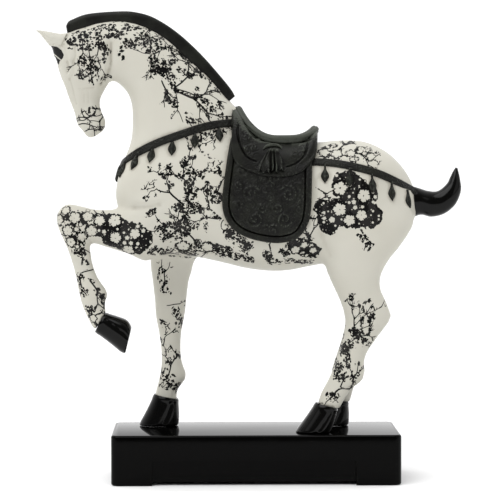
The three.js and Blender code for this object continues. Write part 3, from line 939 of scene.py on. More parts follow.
def blanket_lift(points):
    rim = np.clip(edge_distance(points, BLANKET_OUTLINE_FINE) * -1, 0, None)
    edge = np.sqrt(1 - (1 - np.clip(rim / BORDER_ROUND, 0, 1)) ** 2)
    furrow = np.exp(-(((rim - FURROW_INSET) / FURROW_HALF) ** 2))
    field = np.clip((rim - FIELD_INSET) / 2, 0, 1)
    lift = BORDER_HEIGHT * edge - FURROW_DEPTH * furrow - 0.25 * np.clip((rim - 6) / 2, 0, 1)
    return lift + field * relief_of(points, field_lines(), 1.0, SCROLL_HEIGHT)


def make_blanket():
    bm = lay_grid(BLANKET_COLUMNS, BLANKET_ROWS, blanket_spot)
    lift_grid(bm, blanket_lift)
    thicken(bm, BLANKET_DEPTH, BLANKET_CENTRE[1])
    return new_object("blanket", bm)


def mirrored(obj, name):
    """A copy on the other side of the horse, with its faces turned outwards again."""
    bm = bmesh.new()
    bm.from_mesh(obj.data)
    for v in bm.verts:
        v.co.y = -v.co.y
    return new_object(name, bm)


blanket = make_blanket()
far_blanket = mirrored(blanket, "far blanket")
print("blanket", len(blanket.data.polygons), "faces a side")

# %% [markdown]
# The saddle sits over the blanket: a short skirt on each side with a rounded furrow in each wing, a
# rolled rim with two grooves that rises to the pommel and the cantle, a dished seat inside the rim, and
# in the middle of each side a tassel that fans out from its knot below a small bar.

# %% Saddle skirt
SADDLE = [
    (-18.5, 336, -18, 290, 20, 0.1),
    (-14, 340, -17, 284, 30, 0.1),
    (-8, 335, -12, 277, 34, 0.1),
    (0, 324, -4, 272, 36.5, 0.1),
    (9, 317, 8, 270, 38, 0.1),
    (22, 313.5, 22, 269, 39, 0.1),
    (37, 311.5, 37, 270, 39, 0.1),
    (49, 313, 51, 275, 37, 0.1),
    (56.5, 318.5, 57, 281, 33, 0.1),
    (60.2, 320.5, 59.5, 288, 25, 0.1),
    (61.8, 319.5, 60.6, 296, 16, 0.1),
]
SKIRT_TOP = [
    (-15, 338), (-9, 327), (-2, 316.5), (5, 310.2), (19, 307.2), (38, 306.4), (51, 307.5), (59, 312),
]
SKIRT_FOOT = [
    (-18, 306), (-15.5, 294), (-9, 286.5), (6, 280), (23, 277.5), (40, 279.5), (50, 285.5), (58, 296),
]
SKIRT_COLUMNS = 90
SKIRT_ROWS = 42
SKIRT_DEPTH = 10
SKIRT_CLEARANCE = 3.6
SKIRT_HEIGHT = 1.7
SKIRT_ROUND = 1.3
WING_FURROW_HALF = 0.8
WING_FURROW_DEPTH = 1.9
SADDLE_AXIS_Z = 290
skirt_top = smooth_rows(SKIRT_TOP, 12)
skirt_foot = smooth_rows(SKIRT_FOOT, 12)


def make_saddle_block():
    """The saddle's tree under the skirts: it fills the pommel and the cantle below the rim."""
    bm = bmesh.new()
    limb(bm, SADDLE, sides=48, steps=6, fullness=2.3)
    return new_object("saddle block", bm)


def saddle_form():
    """What the skirt lies on: the saddle's block and the barrel under its blanket."""
    bm = bmesh.new()
    limb(bm, SADDLE, sides=64, steps=8, fullness=2.3)
    limb(bm, [(*s[:4], s[4], s[5]) for s in TRUNK[4:11]], sides=96, steps=8, fullness=2.5)
    form = new_object("form", bm)
    tree = find_surface(form)
    bpy.data.objects.remove(form)
    return tree


form_skin = saddle_form()


def skirt_spot(u, v):
    """u runs from the pommel back, v from the foot up to the rim, with finer rows at the foot."""
    rise = v ** 1.25
    at = u * (len(skirt_top) - 1)
    top = [np.interp(at, range(len(skirt_top)), skirt_top[:, k]) for k in (0, 1)]
    foot = [np.interp(at, range(len(skirt_foot)), skirt_foot[:, k]) for k in (0, 1)]
    x, z = (foot[k] + (top[k] - foot[k]) * rise for k in (0, 1))
    side = cast_side(form_skin, x, z, -1)[0].y
    return x, min(side, -barrel(x, z, SKIRT_CLEARANCE)), z


WING_FURROWS = [
    [(-11.2, 324), (-11.6, 316.3), (-10, 306.8), (-5.4, 297.8), (0, 293.2), (4.7, 291.6)],
    [(51.5, 306.5), (50, 300), (46, 294.3), (40, 289.6), (32, 286.6)],
]
WING_SCROLLS = [
    (-3.5, 312, 3.4, 1.3, 0.5, 1), (1.5, 303, 3.2, 1.3, 2.5, -1), (-5, 302.5, 2.2, 1.2, 4.2, 1),
    (46, 302, 3.2, 1.3, 1.5, 1), (40, 297, 2.6, 1.2, 3.5, -1),
]
SKIRT_OUTLINE = [tuple(p) for p in skirt_foot] + [(66, 330), (-24, 350)]


def skirt_lift(points):
    rim = np.clip(-edge_distance(points, SKIRT_OUTLINE), 0, None)
    edge = np.sqrt(1 - (1 - np.clip(rim / SKIRT_ROUND, 0, 1)) ** 2)
    lines = [smooth_rows(furrow, 6) for furrow in WING_FURROWS]
    furrows = sum(np.exp(-((line_distance(points, line) / WING_FURROW_HALF) ** 2)) for line in lines)
    scrolls = relief_of(points, [scroll(*s) for s in WING_SCROLLS], 0.8, 1.0)
    return SKIRT_HEIGHT * edge - WING_FURROW_DEPTH * furrows + scrolls


def make_skirt():
    bm = lay_grid(SKIRT_COLUMNS, SKIRT_ROWS, skirt_spot)
    for _ in range(6):
        inner = [v for v in bm.verts if not v.is_boundary]
        bmesh.ops.smooth_vert(bm, verts=inner, factor=0.5,
                              use_axis_x=False, use_axis_y=True, use_axis_z=False)
    lift_grid(bm, skirt_lift)
    thicken(bm, SKIRT_DEPTH, SADDLE_AXIS_Z)
    return new_object("skirt", bm)


saddle_block = make_saddle_block()
skirt = make_skirt()
far_skirt = mirrored(skirt, "far skirt")
print("skirt", len(skirt.data.polygons), "faces a side")

# %% Rolled rim and seat
RIM_CENTRE_X = 24.3
RIM_REACH = 35
RIM_HALF = 26.5
RIM_THICK = 4.2
SEAT_LOW_Z = 311.2
SEAT_DIP = 1.5
POMMEL_RISE = 27
CANTLE_RISE = 9
GROOVE_TURNS = (-0.12, 1.3)


def rim_place(turn, scale=1.0, drop=0.0):
    """The rim's centre line: an oval that rises steeply to the pommel and a little to the cantle."""
    to_cantle = math.cos(turn)
    rise = POMMEL_RISE * max(0, -to_cantle) ** 2.2 + CANTLE_RISE * max(0, to_cantle) ** 4
    return Vector((
        RIM_CENTRE_X + RIM_REACH * scale * to_cantle,
        RIM_HALF * scale * math.sin(turn),
        SEAT_LOW_Z + rise - drop,
    ))


def make_rim():
    def place(turn, spin):
        out = Vector((math.cos(turn) / RIM_REACH, math.sin(turn) / RIM_HALF, 0)).normalized()
        thick = RIM_THICK * (1 - 0.15 * sum(math.exp(-((spin - g) / 0.17) ** 2) for g in GROOVE_TURNS))
        return rim_place(turn) + out * thick * math.cos(spin) + Vector((0, 0, thick * math.sin(spin)))

    bm = bmesh.new()
    sweep(bm, np.arange(96) * 2 * math.pi / 96, place, 28, closed=True)
    return new_object("rim", bm)


def make_seat():
    """A bowl inside the rim: its rings shrink from the rim's middle to the lowest place."""
    def place(row, turn):
        scale, drop = row
        sunk = rim_place(turn, scale, drop)
        level = SEAT_LOW_Z - SEAT_DIP
        return Vector((sunk.x, sunk.y, level + (sunk.z - level) * min(1, 0.15 + scale ** 1.6) - 0.5))

    bm = bmesh.new()
    rows = [(0.9, 30), (1.0, 26), (1.0, 3), (1.0, 0.4), (0.96, 0.9), (0.9, 1.6)]
    rows += [(scale, 2) for scale in (0.75, 0.55, 0.35, 0.1)]
    sweep(bm, rows, place, 72)
    return new_object("seat", bm)


rim = make_rim()
seat = make_seat()
print("rim", len(rim.data.polygons), "faces")

# %% Bar and tassel
BAR = [(11, 302.2), (14, 304.6), (19, 305.6), (24.5, 305.2), (28, 302.8)]
BAR_HALF = (1.7, 1.5)
TASSEL_FOLDS = 5
TASSEL_TOP = (20.2, 301.5)
TASSEL_LENGTH = 17.5
TASSEL_HALF = (4.8, 8.0)
TASSEL_DEPTH = 6


def on_skirt(tree, x, z, lift):
    """A place above the near skirt, and the skirt's normal there."""
    place, normal = cast_side(tree, x, z, -1)
    return place + normal * lift, normal


def make_bar(tree):
    line = smooth_rows(BAR, 5)
    places = [on_skirt(tree, x, z, 1.0) for x, z in line]

    def place(number, turn):
        centre, normal = places[number]
        up = normal.cross(Vector((1, 0, 0))).normalized()
        ends = math.sin(math.pi * (number + 0.6) / (len(places) + 0.2)) ** 0.4
        return centre + (normal * math.sin(turn) * BAR_HALF[0] + up * math.cos(turn) * BAR_HALF[1]) * ends

    bm = bmesh.new()
    sweep(bm, range(len(places)), place, 14)
    return new_object("bar", bm)


def tassel_spot(u, v):
    """A fan: narrow at the knot, flaring to its hem, with u across and v down."""
    half = TASSEL_HALF[0] + TASSEL_HALF[1] * v ** 0.9
    x = TASSEL_TOP[0] + half * (2 * u - 1) - 2.5 * v
    hem = 2.5 * math.sin(math.pi * u) - 1.3 * math.cos(2 * math.pi * TASSEL_FOLDS * u + 2 * math.sin(5 * u))
    z = TASSEL_TOP[1] - (TASSEL_LENGTH + hem) * v
    return x, z


def make_tassel(tree):
    bm = bmesh.new()
    bmesh.ops.create_grid(bm, x_segments=56, y_segments=30, size=1)
    for v in bm.verts:
        u, down = (v.co.x + 1) / 2, (1 - v.co.y) / 2
        x, z = tassel_spot(u, down)
        sway = 0.3 * math.sin(3 * down + 4 * u) + 0.25 * math.sin(11 * u)
        folds = 0.5 + 0.5 * math.cos(2 * math.pi * (TASSEL_FOLDS * u + 0.5 + sway))
        side = math.sqrt(max(0, 1 - (2 * u - 1) ** 2))
        knot = 1.4 * math.exp(-((down - 0.05) / 0.12) ** 2)
        crown = 1.0 + 3.9 * (0.35 + 0.65 * down) * folds * side + knot
        place, _ = on_skirt(tree, x, z, crown * min(1, 0.25 + side))
        v.co = place * MM
    thicken(bm, TASSEL_DEPTH, SADDLE_AXIS_Z)
    return new_object("tassel", bm)


skirt_skin = find_surface(skirt)
bar = make_bar(skirt_skin)
tassel = make_tassel(skirt_skin)
far_bar = mirrored(bar, "far bar")
far_tassel = mirrored(tassel, "far tassel")
print("tassel", len(tassel.data.polygons), "faces")

# %% [markdown]
# The casting is one solid, so all of these forms are joined into one skin with Boolean unions. Each
# form has its own finish before that, and the union keeps it on the faces that came from that form.

# %% Finishes by name
def new_finish(name):
    finish = bpy.data.materials.new(name)
    finish.use_nodes = True
    return finish


printed_cream = new_finish("printed cream")
charcoal = new_finish("charcoal")
gloss_black = new_finish("gloss black")
body.data.materials.append(printed_cream)

# %% One casting
def gathered(name, forms, finish):
    """One object from forms that don't touch each other."""
    bm = bmesh.new()
    for form in forms:
        bm.from_mesh(form.data)
        bpy.data.objects.remove(form)
    whole = new_object(name, bm)
    whole.data.materials.append(finish)
    return whole


def joined(whole, *forms):
    """The union of closed forms. Each face keeps the finish of the form that it came from."""
    for form in forms:
        union = whole.modifiers.new(form.name, "BOOLEAN")
        union.operation = "UNION"
        union.solver = "MANIFOLD"
        union.object = form
        union.material_mode = "TRANSFER"
    apply_modifiers(whole)
    for form in forms:
        bpy.data.objects.remove(form)
    return whole


harness = joined(
    gathered("straps", strap_objects, charcoal),
    gathered("leaves", leaf_objects, charcoal),
)
saddle = joined(
    gathered("skirts", [skirt, far_skirt], charcoal),
    gathered("seat", [seat], charcoal),
    gathered("block", [saddle_block], charcoal),
    gathered("rim", [rim], charcoal),
    gathered("tassels", [tassel, far_tassel], charcoal),
    gathered("bars", [bar, far_bar], charcoal),
)
joined(
    body,
    gathered("both ears", [ears], printed_cream),
    gathered("horn and hair", [tail, *hooves], gloss_black),
    gathered("cloth", [mane, blanket, far_blanket], charcoal),
    harness,
    saddle,
)
body.data.calc_loop_triangles()
print("casting:", len(body.data.loop_triangles), "triangles,", len(body.data.materials), "finishes")

# %% [markdown]
# The cream casting carries a printed transfer in black: leaf clusters, forked twigs and five-petalled
# blossoms, as in many botanical papers. It is only colour, so nothing of it stands out from the surface.
# The mesh holds what the print needs at each point: how leafy a place is, how far the next twig is, and
# where the point lies on the nearest blossom. The material turns these into sharp figures.

# %% Where the print is leafy
# Broad places in the side view: first x, z, second x, z, radius and how dense they are.
LEAFY = [
    (-162, 401, -150, 405, 6, 0.85),  # behind the ear and along the crest
    (-148, 405, -124, 410, 7, 0.8),
    (-122, 411, -98, 409, 6, 0.75),
    (-94, 404, -80, 396, 5, 0.7),
    (-156, 402, -154, 388, 5, 0.65),  # cheek
    (-148, 398, -143, 388, 6, 0.6),
    (-151, 384, -143, 374, 5, 0.7),
    (-154, 373, -152, 369, 3, 0.9),
    (-142, 378, -136, 364, 3, 0.75),
    (-138, 404, -131, 390, 4.5, 0.9),
    (-132, 385, -132, 382, 2.2, 0.9),
    (-110, 399, -96, 400, 6, 0.8),  # upper neck
    (-120, 400, -113, 384, 4, 0.45),
    (-90, 391, -84, 381, 6.5, 0.85),
    (-72, 395, -71, 383, 3.5, 0.95),
    (-66, 393, -53, 384, 4.5, 0.8),
    (-55, 380, -43, 369, 4.5, 0.75),
    (-84, 374, -70, 368, 5.5, 0.9),
    (-66, 374, -52, 369, 3, 0.85),
    (-71, 363, -68, 356, 2.6, 0.85),
    (-76, 350, -69, 344, 3.2, 0.85),
    (-49, 356, -47, 352, 3, 0.9),
    (-43, 348, -35, 341, 3.5, 0.7),
    (-32, 340, -24, 331, 4.5, 0.75),
    (-58, 333, -50, 325, 3.5, 0.6),
    (-44, 316, -20, 318, 5, 0.5),
    (-59, 292, -57, 282, 4, 0.75),  # shoulder
    (-61, 280, -45, 279, 4.5, 0.8),
    (-55, 272, -55, 262, 6, 0.95),
    (-65, 249, -47, 250, 5.5, 0.95),
    (-80, 229, -60, 229, 8, 0.95),
    (-57, 240, -50, 232, 4, 0.85),
    (-82, 281, -77, 278, 3, 0.75),
    (-74, 273, -72, 270, 2.8, 0.9),
    (-87, 268, -85, 262, 2, 0.6),
    (-38, 292, -30, 284, 5, 0.55),
    (-37, 266, -30, 259, 5.5, 0.85),
    (-40, 236, -39, 228, 2.5, 0.85),
    (-49, 219, -48, 216, 3.5, 0.9),
    (-88, 211, -52, 207, 4, 0.9),
    (-53, 215, -51, 210, 3, 1.0),
    (-36, 215, -20, 209, 4.5, 1.25),  # girth and belly
    (-17, 226, -5, 216, 6, 1.0),
    (-12, 205, 1, 203, 3, 1.1),
    (16, 208, 20, 202, 4.5, 1.0),
    (27, 210, 31, 208, 3.5, 0.85),
    (22, 202, 56, 201, 2.4, 0.85),
    (-38, 216, -30, 212, 3.5, 1.2),
    (36, 217, 54, 208, 6, 0.8),
    (48, 229, 53, 221, 3.5, 0.9),
    (97, 225, 105, 219, 3.5, 0.85),  # below the flank
    (66, 298, 78, 296, 4.5, 0.75),  # croup
    (106, 301, 105, 292, 4, 0.8),
    (94, 137, 97, 134, 4.5, 1.0),  # hock and hind cannon
    (94, 129, 106, 128, 4, 0.75),
    (83, 121, 90, 125, 5, 1.0),
    (88, 113, 87, 107, 3, 1.0),
    (79, 106, 80, 97, 5, 0.95),
    (98, 102, 93, 94, 3, 0.8),
    (72, 78, 76, 80, 4, 1.0),
    (110, 154, 107, 144, 2.6, 0.85),
    (-80, 192, -77, 172, 5, 0.62),  # standing foreleg
    (-69, 154, -63, 143, 5, 0.85),
    (-80, 143, -74, 133, 4.5, 0.55),
    (-81, 124, -77, 110, 4, 0.6),
    (-79, 96, -69, 82, 5.5, 0.75),
    (-155, 216, -154, 210, 6, 1.0),  # raised cannon
    (-154, 187, -150, 174, 4, 0.95),
    (-144, 184, -137, 173, 3, 0.65),
    (-135, 170, -133, 165, 3.5, 0.95),
    (-145, 158, -144, 155, 4, 1.0),
    (-142, 143, -138, 134, 4, 0.7),
]


def soft_places(points, places):
    """How dense each point is: full in the middle of a place and fading at its edge."""
    dense = np.zeros(len(points))
    for x1, z1, x2, z2, radius, strength, *_ in places:
        near = line_distance(points, [(x1, z1), (x2, z2 + 0.01)]) / radius
        dense = np.maximum(dense, strength * np.clip(1.6 - near, 0, 1))
    return dense


print(len(LEAFY), "leafy places")

# %% [markdown]
# A twig grows the way it does in a drawing: a stretch that wanders a little, then a fork into two thinner
# and shorter ones, again and again. Each point of the mesh then keeps its distance to the nearest stretch.
# The sign of that distance changes across the twig, so it stays exact between two points of the mesh.

# %% Twigs
# Roots: x, z, heading in degrees, length of the first stretch, half width, forks, and curl in degrees.
TWIG_ROOTS = [
    (-69, 358, 25, 16, 0.75, 2, 6), (-68, 357, -5, 18, 0.6, 3, 0), (-69, 357, -38, 21, 1.0, 4, 0),
    (-80, 364, -62, 10, 0.7, 2, 0), (-67, 352, -72, 14, 0.4, 1, 0), (-90, 382, -80, 8, 0.5, 2, 0),
    (-112, 398, -70, 12, 0.45, 3, 12), (-60, 390, 165, 12, 0.45, 3, 0), (-45, 372, 140, 14, 0.5, 3, 0),
    (-98, 402, 60, 9, 0.45, 2, 0), (-45, 318, 250, 8, 0.45, 2, 0), (-30, 318, 230, 8, 0.4, 2, 0),
    (-152, 402, -86, 12, 0.5, 3, 0), (-137, 402, -88, 14, 0.5, 3, 0), (-147, 400, -80, 12, 0.45, 3, 0),
    (-56, 250, 97, 18, 0.85, 4, 0), (-60, 252, 142, 17, 0.85, 4, 0), (-25, 239, 150, 15, 0.75, 4, 0),
    (-25, 239, 172, 15, 0.55, 2, 0), (-25, 239, 235, 9, 0.45, 2, 10), (-66, 232, 165, 12, 0.6, 3, 0),
    (-50, 220, 125, 14, 0.8, 3, 0), (-58, 288, 70, 12, 0.5, 3, 0), (-31, 262, 75, 14, 0.6, 3, 0),
    (-157, 331, 28, 12, 0.5, 1, -12), (-156, 325, 18, 13, 0.55, 1, -12), (-150, 319, 42, 13, 0.5, 1, -10),
    (-146, 340, -95, 4, 1.3, 0, 0), (-150, 337, -72, 9, 0.55, 2, 16), (-141, 337, -100, 9, 0.55, 2, -16),
    (-134, 332, -150, 9, 0.6, 1, 20), (-143, 341, -40, 6, 0.6, 1, 10),
    (-153, 191, 22, 15, 0.6, 2, -7), (-146, 186, -50, 14, 0.75, 2, 0), (-145, 158, -65, 12, 0.75, 3, 0),
    (-144, 152, 20, 9, 0.6, 2, 0), (-164, 226, -60, 14, 0.6, 2, 0),
    (-78, 178, 100, 10, 0.55, 2, 0), (-76, 158, 15, 11, 0.45, 1, 0), (-80, 120, 80, 10, 0.55, 3, 0),
    (-77, 90, 60, 12, 0.65, 3, 0), (-70, 82, 100, 8, 0.45, 2, 20), (-78, 104, 10, 12, 0.5, 2, 8),
    (107, 136, 80, 13, 0.95, 3, 0), (94, 137, 97, 12, 0.55, 3, 0), (94, 143, 50, 15, 0.4, 1, -5),
    (88, 108, -50, 14, 0.45, 1, -6), (73, 78, 55, 11, 0.85, 2, 0), (73, 78, 220, 7, 0.45, 1, 0),
    (72, 80, -40, 9, 0.45, 0, 0), (90, 128, 30, 10, 0.5, 3, 0), (92, 94, 60, 8, 0.6, 2, 0),
    (59, 268, -32, 10, 0.55, 2, 0), (59, 256, 22, 7, 0.45, 1, 0), (88, 279, 85, 9, 0.65, 2, 0),
    (99, 230, -60, 9, 0.75, 2, 0), (62, 296, 10, 14, 0.65, 3, 0), (80, 297, 60, 9, 0.5, 3, 0),
    (96, 300, -20, 10, 0.5, 3, 0), (19, 205, 95, 12, 0.8, 1, 0), (48, 209, 60, 14, 0.85, 3, 0),
    (-28, 212, 200, 12, 0.6, 2, 0), (-8, 222, 120, 9, 0.6, 2, 0), (-118, 236, 150, 14, 0.8, 3, 0),
]
PRINT_SEED = 11
THINNEST_TWIG = 0.36
TWIG_SEARCH = 9
MUZZLE = [(-146, 334), (-144, 322)]


def grow_twig(place, heading, length, width, forks, curl, rng, twigs):
    line = [place]
    for _ in range(4):
        heading += rng.uniform(-9, 9) + curl
        step = length / 4
        line.append((line[-1][0] + step * math.cos(math.radians(heading)),
                     line[-1][1] + step * math.sin(math.radians(heading))))
    twigs.append((line, width))
    if forks:
        for turn in (rng.uniform(14, 40), -rng.uniform(14, 40)):
            shorter = length * rng.uniform(0.55, 0.85)
            thinner = max(THINNEST_TWIG, width * 0.74)
            grow_twig(line[-1], heading + turn, shorter, thinner, forks - 1, curl, rng, twigs)


def twig_fields(points, facing):
    """For each point, the signed distance over the half width, and the bare distance, of its twig."""
    signed = np.full(len(points), FAR_AWAY)
    bare = np.full(len(points), FAR_AWAY)
    for side in (-1, 1):
        rng = random.Random(PRINT_SEED + side)
        twigs = []
        for x, z, *growth in TWIG_ROOTS:
            grow_twig((x, z), *growth, rng, twigs)
        mine = np.flatnonzero(facing * side > 0.1)
        flat = points[mine][:, [0, 2]]
        for line, width in twigs:
            ring = np.asarray(line)
            for start, end in zip(ring[:-1], ring[1:]):
                way = (end - start) / np.hypot(*(end - start))
                near = np.flatnonzero(np.abs(flat - (start + end) / 2).max(1) < TWIG_SEARCH)
                gap = flat[near] - start
                along = np.clip(gap @ way, 0, np.hypot(*(end - start)))
                far = np.hypot(*(gap - along[:, None] * way).T)
                across = gap[:, 0] * way[1] - gap[:, 1] * way[0]
                closer = far < bare[mine[near]]
                chosen = mine[near[closer]]
                bare[chosen] = far[closer]
                signed[chosen] = np.copysign(far, across)[closer] / width
    return signed, bare


def bears_leaves(points):
    """All twigs bear leaves apart from the thin curls on the muzzle."""
    return np.clip(line_distance(points, MUZZLE) / 4 - 3.5, 0, 1)


print(len(TWIG_ROOTS), "twigs a side")

# %% [markdown]
# The blossoms are strewn by throwing them one after another and keeping those that touch no earlier one.
# Large ones are thrown first and small ones fill the gaps, so they lie as close as in the real print.

# %% Blossoms
# Broad places as for the leaves: x, z, x, z, radius and density. Dense ones get a black ground, and thin
# ones have outlines only. Then: how many large blossoms are thrown, their radius, and how many small ones.
BLOSSOMY = [
    (86, 270, 102, 260, 11, 1.25, 4, 6.6, 8),  # flank, behind the saddle
    (82, 246, 104, 245, 12, 1.25, 7, 6.2, 10),
    (65, 250, 70, 234, 8, 1.05, 1, 3.6, 6),
    (70, 303, 105, 300, 8, 0.42, 16, 5.0, 12),  # croup
    (-126, 231, -102, 221, 12, 1.2, 6, 5.4, 16),  # raised forearm
    (-152, 242, -138, 236, 9, 0.55, 40, 4.8, 30),
    (-170, 240, -157, 226, 13, 0.5, 60, 4.8, 40),  # knee
    (-147, 151, -138, 144, 7, 0.4, 20, 3.8, 10),  # raised fetlock
    (-66, 214, -36, 215, 6, 0.3, 7, 6.5, 0),  # elbow
    (40, 217, 56, 211, 7, 0.95, 3, 3.8, 10),  # belly
]
SMALL_BLOSSOM = 2.1
BLOSSOM_GAP = 0.4
BLOSSOM_LEAST_SIDEWAYS = 0.3


def place_blossoms(tree):
    """Middles, directions and radii of the blossoms, on both sides of the horse."""
    rng = random.Random(PRINT_SEED)
    blossoms = []
    for side in (-1, 1):
        for x1, z1, x2, z2, radius, _, large, large_radius, small in BLOSSOMY:
            for size in [large_radius] * large + [SMALL_BLOSSOM] * small:
                size *= rng.uniform(0.8, 1.1)
                along = rng.random()
                angle = rng.uniform(0, 2 * math.pi)
                reach = radius * math.sqrt(rng.random())
                x = x1 + (x2 - x1) * along + reach * math.cos(angle)
                z = z1 + (z2 - z1) * along + reach * math.sin(angle)
                place, normal = cast_side(tree, x, z, side)
                spin = rng.uniform(0, 2 * math.pi)
                if abs(normal.y) < BLOSSOM_LEAST_SIDEWAYS:
                    continue
                if all((place - other).length > size + taken + BLOSSOM_GAP
                       for other, _, _, taken in blossoms):
                    first = normal.orthogonal().normalized()
                    axis = first * math.cos(spin) + normal.cross(first) * math.sin(spin)
                    blossoms.append((place, axis, normal.cross(axis), size))
    return blossoms


def blossom_field(points, blossoms):
    """For each point, its place on the nearest blossom in that blossom's radii, and its distance."""
    field = np.full((len(points), 3), FAR_AWAY)
    for place, axis, other_axis, size in blossoms:
        gap = points - np.array(place)
        near = np.flatnonzero(np.abs(gap).max(1) < size * 2.2)
        spot = np.stack([gap[near] @ np.array(axis), gap[near] @ np.array(other_axis)], 1) / size
        far = np.sqrt((gap[near] ** 2).sum(1)) / size
        closer = far < field[near, 2]
        field[near[closer], :2] = spot[closer]
        field[near[closer], 2] = far[closer]
    return field


blossoms = place_blossoms(skin)
print(len(blossoms), "blossoms on both sides")

# %% [markdown]
# Hollows are painted darker as painted shade, and on the charcoal the raised parts lighter, as a dry
# brush's catch and a painted highlight. How raised a point is shows in its neighbours: on a ridge their
# middle lies below it, in a furrow above it.

# %% Values stored on the points
# Where the saddlery is carved all over: the blanket's field, the skirt's two wings and the straps.
CARVED = [
    (2, 262, 33, 262, 22, 1.0), (4, 248, 31, 248, 18, 1.0),
    (-4, 314, 1, 303, 5, 0.9), (47, 303, 41, 299, 4.5, 0.9),
]
CARVED += [(*start, *end, 4, 0.8) for strap in (BREAST_STRAP, CRUPPER_STRAP)
           for start, end in zip(strap, strap[1:])]
# Painted highlight: the rim of the seat and the bar below it are painted lighter.
RIM_PAINTED_HIGHLIGHT = [
    (-12, 338, -3, 324, 5, 0.45), (-3, 324, 8, 315, 5, 0.45), (8, 315, 24, 312, 5, 0.45),
    (24, 312, 44, 312, 5, 0.45), (44, 312, 58, 319, 5, 0.45), (14, 305, 26, 304, 2.5, 0.3),
]


def raised_field(mesh):
    """How sharply the surface bulges at each point, in 1/mm: below 0 in furrows, above 0 on ridges."""
    points = mesh_points(mesh)
    ends, others = mesh_neighbours(mesh)
    count = np.maximum(np.bincount(ends, minlength=len(points)), 1)
    gap = points[ends] - points[others]
    out = (gap * mesh_normals(mesh)[ends]).sum(1)
    bulge = np.bincount(ends, out, len(points)) / np.bincount(ends, (gap ** 2).sum(1) + 0.01, len(points))
    for _ in range(2):
        bulge = 0.5 * bulge + 0.5 * np.bincount(ends, bulge[others], len(points)) / count
    return np.clip(2 * bulge, -1, 1)


def store(mesh, name, values):
    kind = "FLOAT_VECTOR" if values.ndim == 2 else "FLOAT"
    layer = mesh.attributes.new(name, kind, "POINT")
    layer.data.foreach_set("vector" if values.ndim == 2 else "value", values.astype(np.float32).ravel())


points = mesh_points(body.data)
normals = mesh_normals(body.data)
twig_signed, twig_bare = twig_fields(points, normals[:, 1])
upper_fade = 0.35 + 0.65 * np.clip(np.abs(normals[:, 1]) * 4, 0, 1)
store(body.data, "leafy", soft_places(points, LEAFY) * upper_fade)
store(body.data, "blossomy", soft_places(points, BLOSSOMY) * upper_fade)
store(body.data, "twig", np.stack([twig_signed, twig_bare, bears_leaves(points)], 1))
store(body.data, "blossom", blossom_field(points, blossoms))
store(body.data, "eye", eye_distance(points))
# How raised each point is, with a painted highlight added along the seat's rim and bar. It guides painted
# shade and painted highlight.
store(body.data, "raised", raised_field(body.data) + soft_places(points, RIM_PAINTED_HIGHLIGHT))
store(body.data, "carved", soft_places(points, CARVED))
# Besides the print, these values guide painted shade and painted highlight.
print("print and wear stored on", len(points), "points")

# %% [markdown]
# The materials are built from a few maths nodes at a time, so a small helper writes each step as one
# short line. Every pattern reads the object's own coordinates or the values stored on its points, and so
# it stays on the surface from any side.

# %% A short way to write nodes
class Recipe:
    """Adds nodes to a material. Each call gives back the socket that carries the result."""

    def __init__(self, finish):
        self.tree = finish.node_tree
        self.shader = self.tree.nodes["Principled BSDF"]
        self.place = self.add("ShaderNodeTexCoord").outputs["Object"]

    def add(self, kind, **settings):
        node = self.tree.nodes.new(kind)
        for name, value in settings.items():
            setattr(node, name, value)
        return node

    def feed(self, socket, value):
        if isinstance(value, bpy.types.NodeSocket):
            self.tree.links.new(value, socket)
        else:
            socket.default_value = value

    def maths(self, operation, *values):
        node = self.add("ShaderNodeMath", operation=operation)
        for socket, value in zip(node.inputs, values):
            self.feed(socket, value)
        return node.outputs["Value"]

    def vector(self, operation, *values, scale=None):
        node = self.add("ShaderNodeVectorMath", operation=operation)
        for socket, value in zip(node.inputs, values):
            self.feed(socket, value)
        if scale is not None:
            self.feed(node.inputs["Scale"], scale)
        return node.outputs["Value" if operation in ("DOT_PRODUCT", "LENGTH") else "Vector"]

    def step(self, value, low, high):
        """From 0 to 1 as the value goes from low to high, softly."""
        node = self.add("ShaderNodeMapRange", interpolation_type="SMOOTHSTEP")
        for name, given in (("Value", value), ("From Min", low), ("From Max", high)):
            self.feed(node.inputs[name], given)
        return node.outputs["Result"]

    def fall(self, value, low, high):
        """From 1 to 0 as the value goes from low to high, softly."""
        return self.maths("SUBTRACT", 1.0, self.step(value, low, high))

    def noise(self, size, detail=2.0, vector=None):
        """Soft noise whose blobs are about size millimetres across."""
        node = self.add("ShaderNodeTexNoise")
        self.feed(node.inputs["Vector"], vector or self.place)
        self.feed(node.inputs["Scale"], 1 / (size * MM))
        self.feed(node.inputs["Detail"], detail)
        return node.outputs["Fac"]

    def drift(self, strength, size, detail=2.0, vector=None):
        """The same noise about 0, times a strength."""
        around = self.maths("SUBTRACT", self.noise(size, detail, vector), 0.5)
        return self.maths("MULTIPLY", around, strength)

    def split(self, kind, whole):
        """The three parts of a colour or a vector. The kind is Color or XYZ."""
        node = self.add("ShaderNodeSeparate" + kind)
        self.feed(node.inputs[0], whole)
        return node.outputs

    def value(self, name, output="Fac"):
        return self.add("ShaderNodeAttribute", attribute_name=name).outputs[output]

    def mix(self, share, first, second):
        node = self.add("ShaderNodeMix", data_type="RGBA")
        self.feed(node.inputs[0], share)
        self.feed(node.inputs[6], first)
        self.feed(node.inputs[7], second)
        return node.outputs[2]

    def bump(self, height, strength, depth, after=None):
        node = self.add("ShaderNodeBump")
        self.feed(node.inputs["Height"], height)
        self.feed(node.inputs["Strength"], strength)
        self.feed(node.inputs["Distance"], depth * MM)
        if after:
            self.feed(node.inputs["Normal"], after)
        return node.outputs["Normal"]

    def finish(self, **sockets):
        for name, value in sockets.items():
            self.feed(self.shader.inputs[name.replace("_", " ")], value)


print("recipes ready")

# %% [markdown]
# A leaf of the print is stamped in each cell of a scatter. The cell's own random colour turns it and
# decides whether it is there, so a leaf is either whole or missing. Where leaves lie thickest they run
# together into black patches with a few small openings, as ink does.

# %% Leaves of the print
SIDE_LEAF = 0.68


